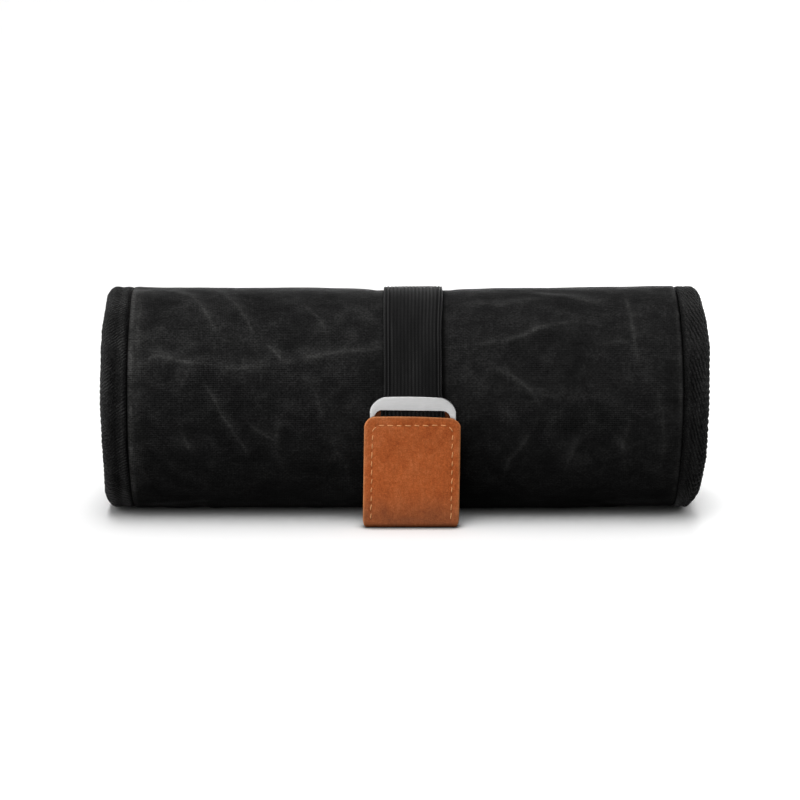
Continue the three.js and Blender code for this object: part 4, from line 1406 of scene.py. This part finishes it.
# ------------------------------------------------------------------ tape over the flap's edge and the inner end
def edge_tape(name, phi_end, sign, T, body, node, lead=9.5):
    """Tape folded over a cross edge of the panel; sign is 1 where the panel runs on to larger angles."""
    sec = hermite([(lead + 0.5, -0.55), (lead, 0.10), (lead - 1.2, 0.42), (lead * 0.6, 0.52), (2.2, 0.50), (0.2, 0.28), (-1.1, -0.55), (-1.75, -T / 2),
                   (-1.1, -T - 0.05), (0.2, -T - 0.72), (2.2, -T - 0.92), (lead * 0.6, -T - 0.92), (lead - 1.2, -T - 0.85), (lead, -T - 0.5),
                   (lead + 0.5, -T + 0.2)], 400)
    ln = np.concatenate([[0], np.cumsum(np.linalg.norm(np.diff(sec, axis=0), axis=1))])
    m = 76
    st = np.linspace(0, ln[-1], m)
    C = np.stack([np.interp(st, ln, sec[:, i]) for i in (0, 1)], -1)
    tan = np.gradient(C, axis=0)
    nrm = np.stack([-tan[:, 1], tan[:, 0]], -1)
    nrm /= np.linalg.norm(nrm, axis=-1, keepdims=True)
    if nrm[m // 4][1] < 0:
        nrm = -nrm
    xs = np.linspace(-128.3, 128.3, 380)
    X, S = np.meshgrid(xs, st, indexing="ij")
    al = math.radians(24)
    wob = 0.20 * n_tape(S / 5.0 + 3, X / 7.0) + 0.10 * n_tape(S / 1.9 + 7, X / 2.4)
    phase = (S * math.cos(al) + sign * X * math.sin(al)) / 1.45 + wob
    worn = np.clip(0.70 + 0.42 * n_tape(S / 6.0 + 50, X / 7.0), 0.38, 1.0)
    ridge = np.abs(np.cos(np.pi * phase)) ** 0.8 * worn
    fade = smooth(0.8, 2.0, S) * (1 - smooth(ln[-1] - 2, ln[-1] - 0.8, S))
    h = 0.20 * (ridge - 0.5) * fade + (0.16 * n_tape(S / 8.0 + 40, X / 14.0) + 0.10 * n_tape(S / 4.0 + 9, X / 5.0)) * fade
    lap = 0.40 * smooth(114.5, 118.0, np.abs(X)) * (1 - smooth(126.5, 128.3, np.abs(X)))      # over the end tapes at the corners
    if node == "flap_edge_binding":
        lap = lap - 0.25 * (1 - smooth(12.0, 15.0, np.abs(X - STRAP_X)))                       # pressed under the strap
    trim = 1 - 0.25 * smooth(127.0, 128.3, np.abs(X))
    base = float(arc(phi_end))

    def shell(extra):
        q0 = C[None, :, 0] + nrm[None, :, 0] * (extra + lap)
        q1 = (C[None, :, 1] + T / 2) * trim - T / 2 + nrm[None, :, 1] * (extra + lap)
        s = base + sign * q0
        # beyond the panel's own end the tape goes on along the tangent
        inside = np.clip(s, 0, float(arc(1089)))
        ph = arc_phi(inside)
        ph = ph - np.degrees((inside - s) / radius(ph))
        r = radius(np.clip(ph, 150, 1089)) + q1
        t = np.radians(ph)
        return np.stack([X, -r * np.cos(t), AXIS + r * np.sin(t)], -1)
    PO, PI = shell(h), shell(np.full_like(h, -0.8))
    NO = grid_normals(PO)
    i, j = 150, m // 4
    flip = NO[i, j] @ (PO[i, j] - PI[i, j]) < 0
    o = slab(name, PO, PI, np.stack([S, X], -1) * 0.001, {"ridge": ridge * fade}, flip=flip)
    finish_piece(o, TAPE)
    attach(o, body)
    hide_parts(node)
    return o


edge_tape("tape_flap_edge", 150.0, 1, 3.6, "flap", "flap_edge_binding")
edge_tape("tape_inner_edge", 1080.0, -1, 6.6, "core", "inner_edge_binding")

# ------------------------------------------------------------------ padded lining, with two zipped pockets
ZIPS = [(413.0, "top", "1"), (735.0, "inner_3", "2")]
n_line, n_quilt = Noise(51), Noise(52)


def lining_shape(x, phi):
    """Depth of the lining's two faces below the panel's nominal outer face."""
    s = arc(phi)
    off, _ = canvas_shape(x, phi)
    top = np.minimum(off - 1.05, -1.3)
    T = thick(phi)
    low = -T + 0.30 + 0.22 * n_line(x / 30, s / 26) + 0.10 * n_quilt(x / 9, s / 8)
    ds = SEAM - np.abs(x)
    low = low + 0.7 * bump(np.maximum(ds - 0.5, 0), 3.0) * smooth(0, 4, T)
    for z, _, _ in ZIPS:
        d = np.abs(s - float(arc(z)))
        along = 1 - smooth(109.5, 111.5, np.abs(x))
        groove = (1 - smooth(5.3, 6.6, d)) * along
        lip = 0.30 * bump(d - 8.2, 1.3) * along
        seam = -0.35 * bump(d - 10.4, 0.6) * along                                              # the row where the pocket is sewn
        low = low * (1 - groove) + (-T + 2.3) * groove - lip - seam
    return top, low


X_LINE = np.unique(np.concatenate([np.linspace(-117.4, 117.4, 72), [-116.9, -115.8, -114.5, -112, -111.5, -110.8, -110.2, -109.4, 109.4, 110.2, 110.8, 111.5, 112, 114.5, 115.8, 116.9]]))
for k in range(len(CUTS) - 1):
    s0, s1 = float(arc(CUTS[k])), float(arc(CUTS[k + 1]))
    s = list(np.linspace(s0, s1, max(3, int((s1 - s0) / 2.6) + 1)))
    for z, _, _ in ZIPS:
        c = float(arc(z))
        s = [v for v in s if abs(v - c) > 12.5 or v in (s0, s1)] + [v for v in c + np.arange(-12, 12.01, 0.55) if s0 + 0.2 < v < s1 - 0.2]
    ph = arc_phi(np.array(sorted(set(s))))
    ph[0], ph[-1] = CUTS[k], CUTS[k + 1]
    if k == 0:
        ph[0] = 150.8
    step = 0.4
    ext = np.clip(np.concatenate([[ph[0] - step], ph, [ph[-1] + step]]), 150, 1089)
    PH, X = np.meshgrid(ext, X_LINE, indexing="ij")
    a, b = lining_shape(X, PH)
    PO, PI = place(X, PH, a), place(X, PH, b)
    NO, NI = grid_normals(PO), grid_normals(PI)
    i, j = len(ph) // 2, len(X_LINE) // 2
    flip = NO[i, j] @ (PO[i, j] - PI[i, j]) < 0
    NO, NI = (-NO, NI) if flip else (NO, -NI)
    ok = slice(1, -1)
    o = slab(piece_name("lining", k), PO[ok], PI[ok], np.stack([X, arc(PH)], -1)[ok] * 0.001, None, flip=flip, normals=(NO[ok], NI[ok]))
    finish_piece(o, LINING)
    carry(o, k)
    if k < len(NAMES):
        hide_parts("lining_" + NAMES[k])


# ------------------------------------------------------------------ zips
def zip_frame(z):
    """Middle of a zip's chain on the lining, with the directions along the panel and out of the lining."""
    t = math.radians(z)
    n = np.array([0, math.cos(t), -math.sin(t)])           # towards the roll's axis
    w = np.array([0, math.sin(t), math.cos(t)])            # along the panel
    c = np.array([0, -math.cos(t), math.sin(t)])
    return c, w, n


for z, body, num in ZIPS:
    c, w, n = zip_frame(z)
    r_in = float(radius(z)) - 6.6
    mid = np.array([0, 0, AXIS]) + c * (r_in + 2.05)

    def at(x, across, up):
        return mid[None, None, :] + x[..., None] * np.array([1.0, 0, 0]) + across[..., None] * w + up[..., None] * n
    # woven tape of the zip, in the groove
    xs, ws = np.linspace(-109.6, 109.6, 160), np.linspace(-5.9, 5.9, 25)
    X, W = np.meshgrid(xs, ws, indexing="ij")
    up = 0.05 * np.sin(X * 1.3) * (np.abs(W) > 3.4) + 0.12 * bump(np.abs(W) - 3.6, 0.35)
    PO, PI = at(X, W, up), at(X, W, np.full_like(up, -0.55))
    NO = grid_normals(PO)
    flip = NO[80, 12] @ n < 0
    o = slab("zip_tape_" + num, PO, PI, np.stack([X, W], -1) * 0.001, {"ridge": 0.5 + 0.5 * np.sin(X * 4.0)}, flip=flip)
    finish_piece(o, COIL)
    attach(o, body)
    # chain of interlocking teeth
    xs, ws = np.linspace(-107.6, 107.6, 700), np.linspace(-2.9, 2.9, 21)
    X, W = np.meshgrid(xs, ws, indexing="ij")
    left = np.abs(np.cos(np.pi * X / 1.5)) ** 0.55
    right = np.abs(np.sin(np.pi * X / 1.5)) ** 0.55
    mixv = smooth(-0.7, 0.7, W)
    tooth = (left * (1 - mixv) + right * mixv)
    shape = np.sqrt(np.clip(1 - (np.abs(W) / 2.95) ** 4, 0, 1))
    up = 0.35 + 0.95 * shape * (0.45 + 0.55 * tooth)
    PO, PI = at(X, W, up), at(X, W, np.full_like(up, 0.10))
    NO = grid_normals(PO)
    flip = NO[80, 10] @ n < 0
    o = slab("zip_teeth_" + num, PO, PI, np.stack([X, W], -1) * 0.001, {"ridge": tooth}, flip=flip)
    finish_piece(o, COIL)
    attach(o, body)
    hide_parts("zip_chain_" + num)
    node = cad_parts["zip_slider_" + num]
    node.data.materials.clear()
    node.data.materials.append(ZIP_METAL)

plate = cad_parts["keeper_plate"]
plate.data.materials.clear()
plate.data.materials.append(STEEL)


# ------------------------------------------------------------------ sewn lines on the lining
def lining_row(name, x0, x1, s_at, k, pitch=3.4):
    """A row of stitches across the lining at a distance along the panel, on lining piece k."""
    items = []
    ph = float(arc_phi(s_at))
    t = math.radians(ph)
    inward = (0.0, math.cos(t), -math.sin(t))
    for x in np.arange(x0 + pitch / 2, x1, pitch):
        _, low = lining_shape(np.array([x]), np.array([ph]))
        p = place(np.array([x]), np.array([ph]), low - 0.05)[0]
        items.append((p, (1, 0, 0), inward, pitch * 0.66))
    o = stitches(name, items, THREAD_LINING, 0.42, 0.40)
    return carry(o, k)


THREAD_LINING = thread_material("thread_taupe", (0.16, 0.145, 0.12), (0.34, 0.31, 0.27))
for z, body, num in ZIPS:
    c = float(arc(z))
    for word, d in (("upper", -10.4), ("lower", 10.4)):
        k = [i for i in range(len(CUTS) - 1) if CUTS[i] <= float(arc_phi(c + d)) <= CUTS[i + 1]][0]
        lining_row(f"pocket_seam_{num}_{word}", -110.0, 110.0, c + d, k)
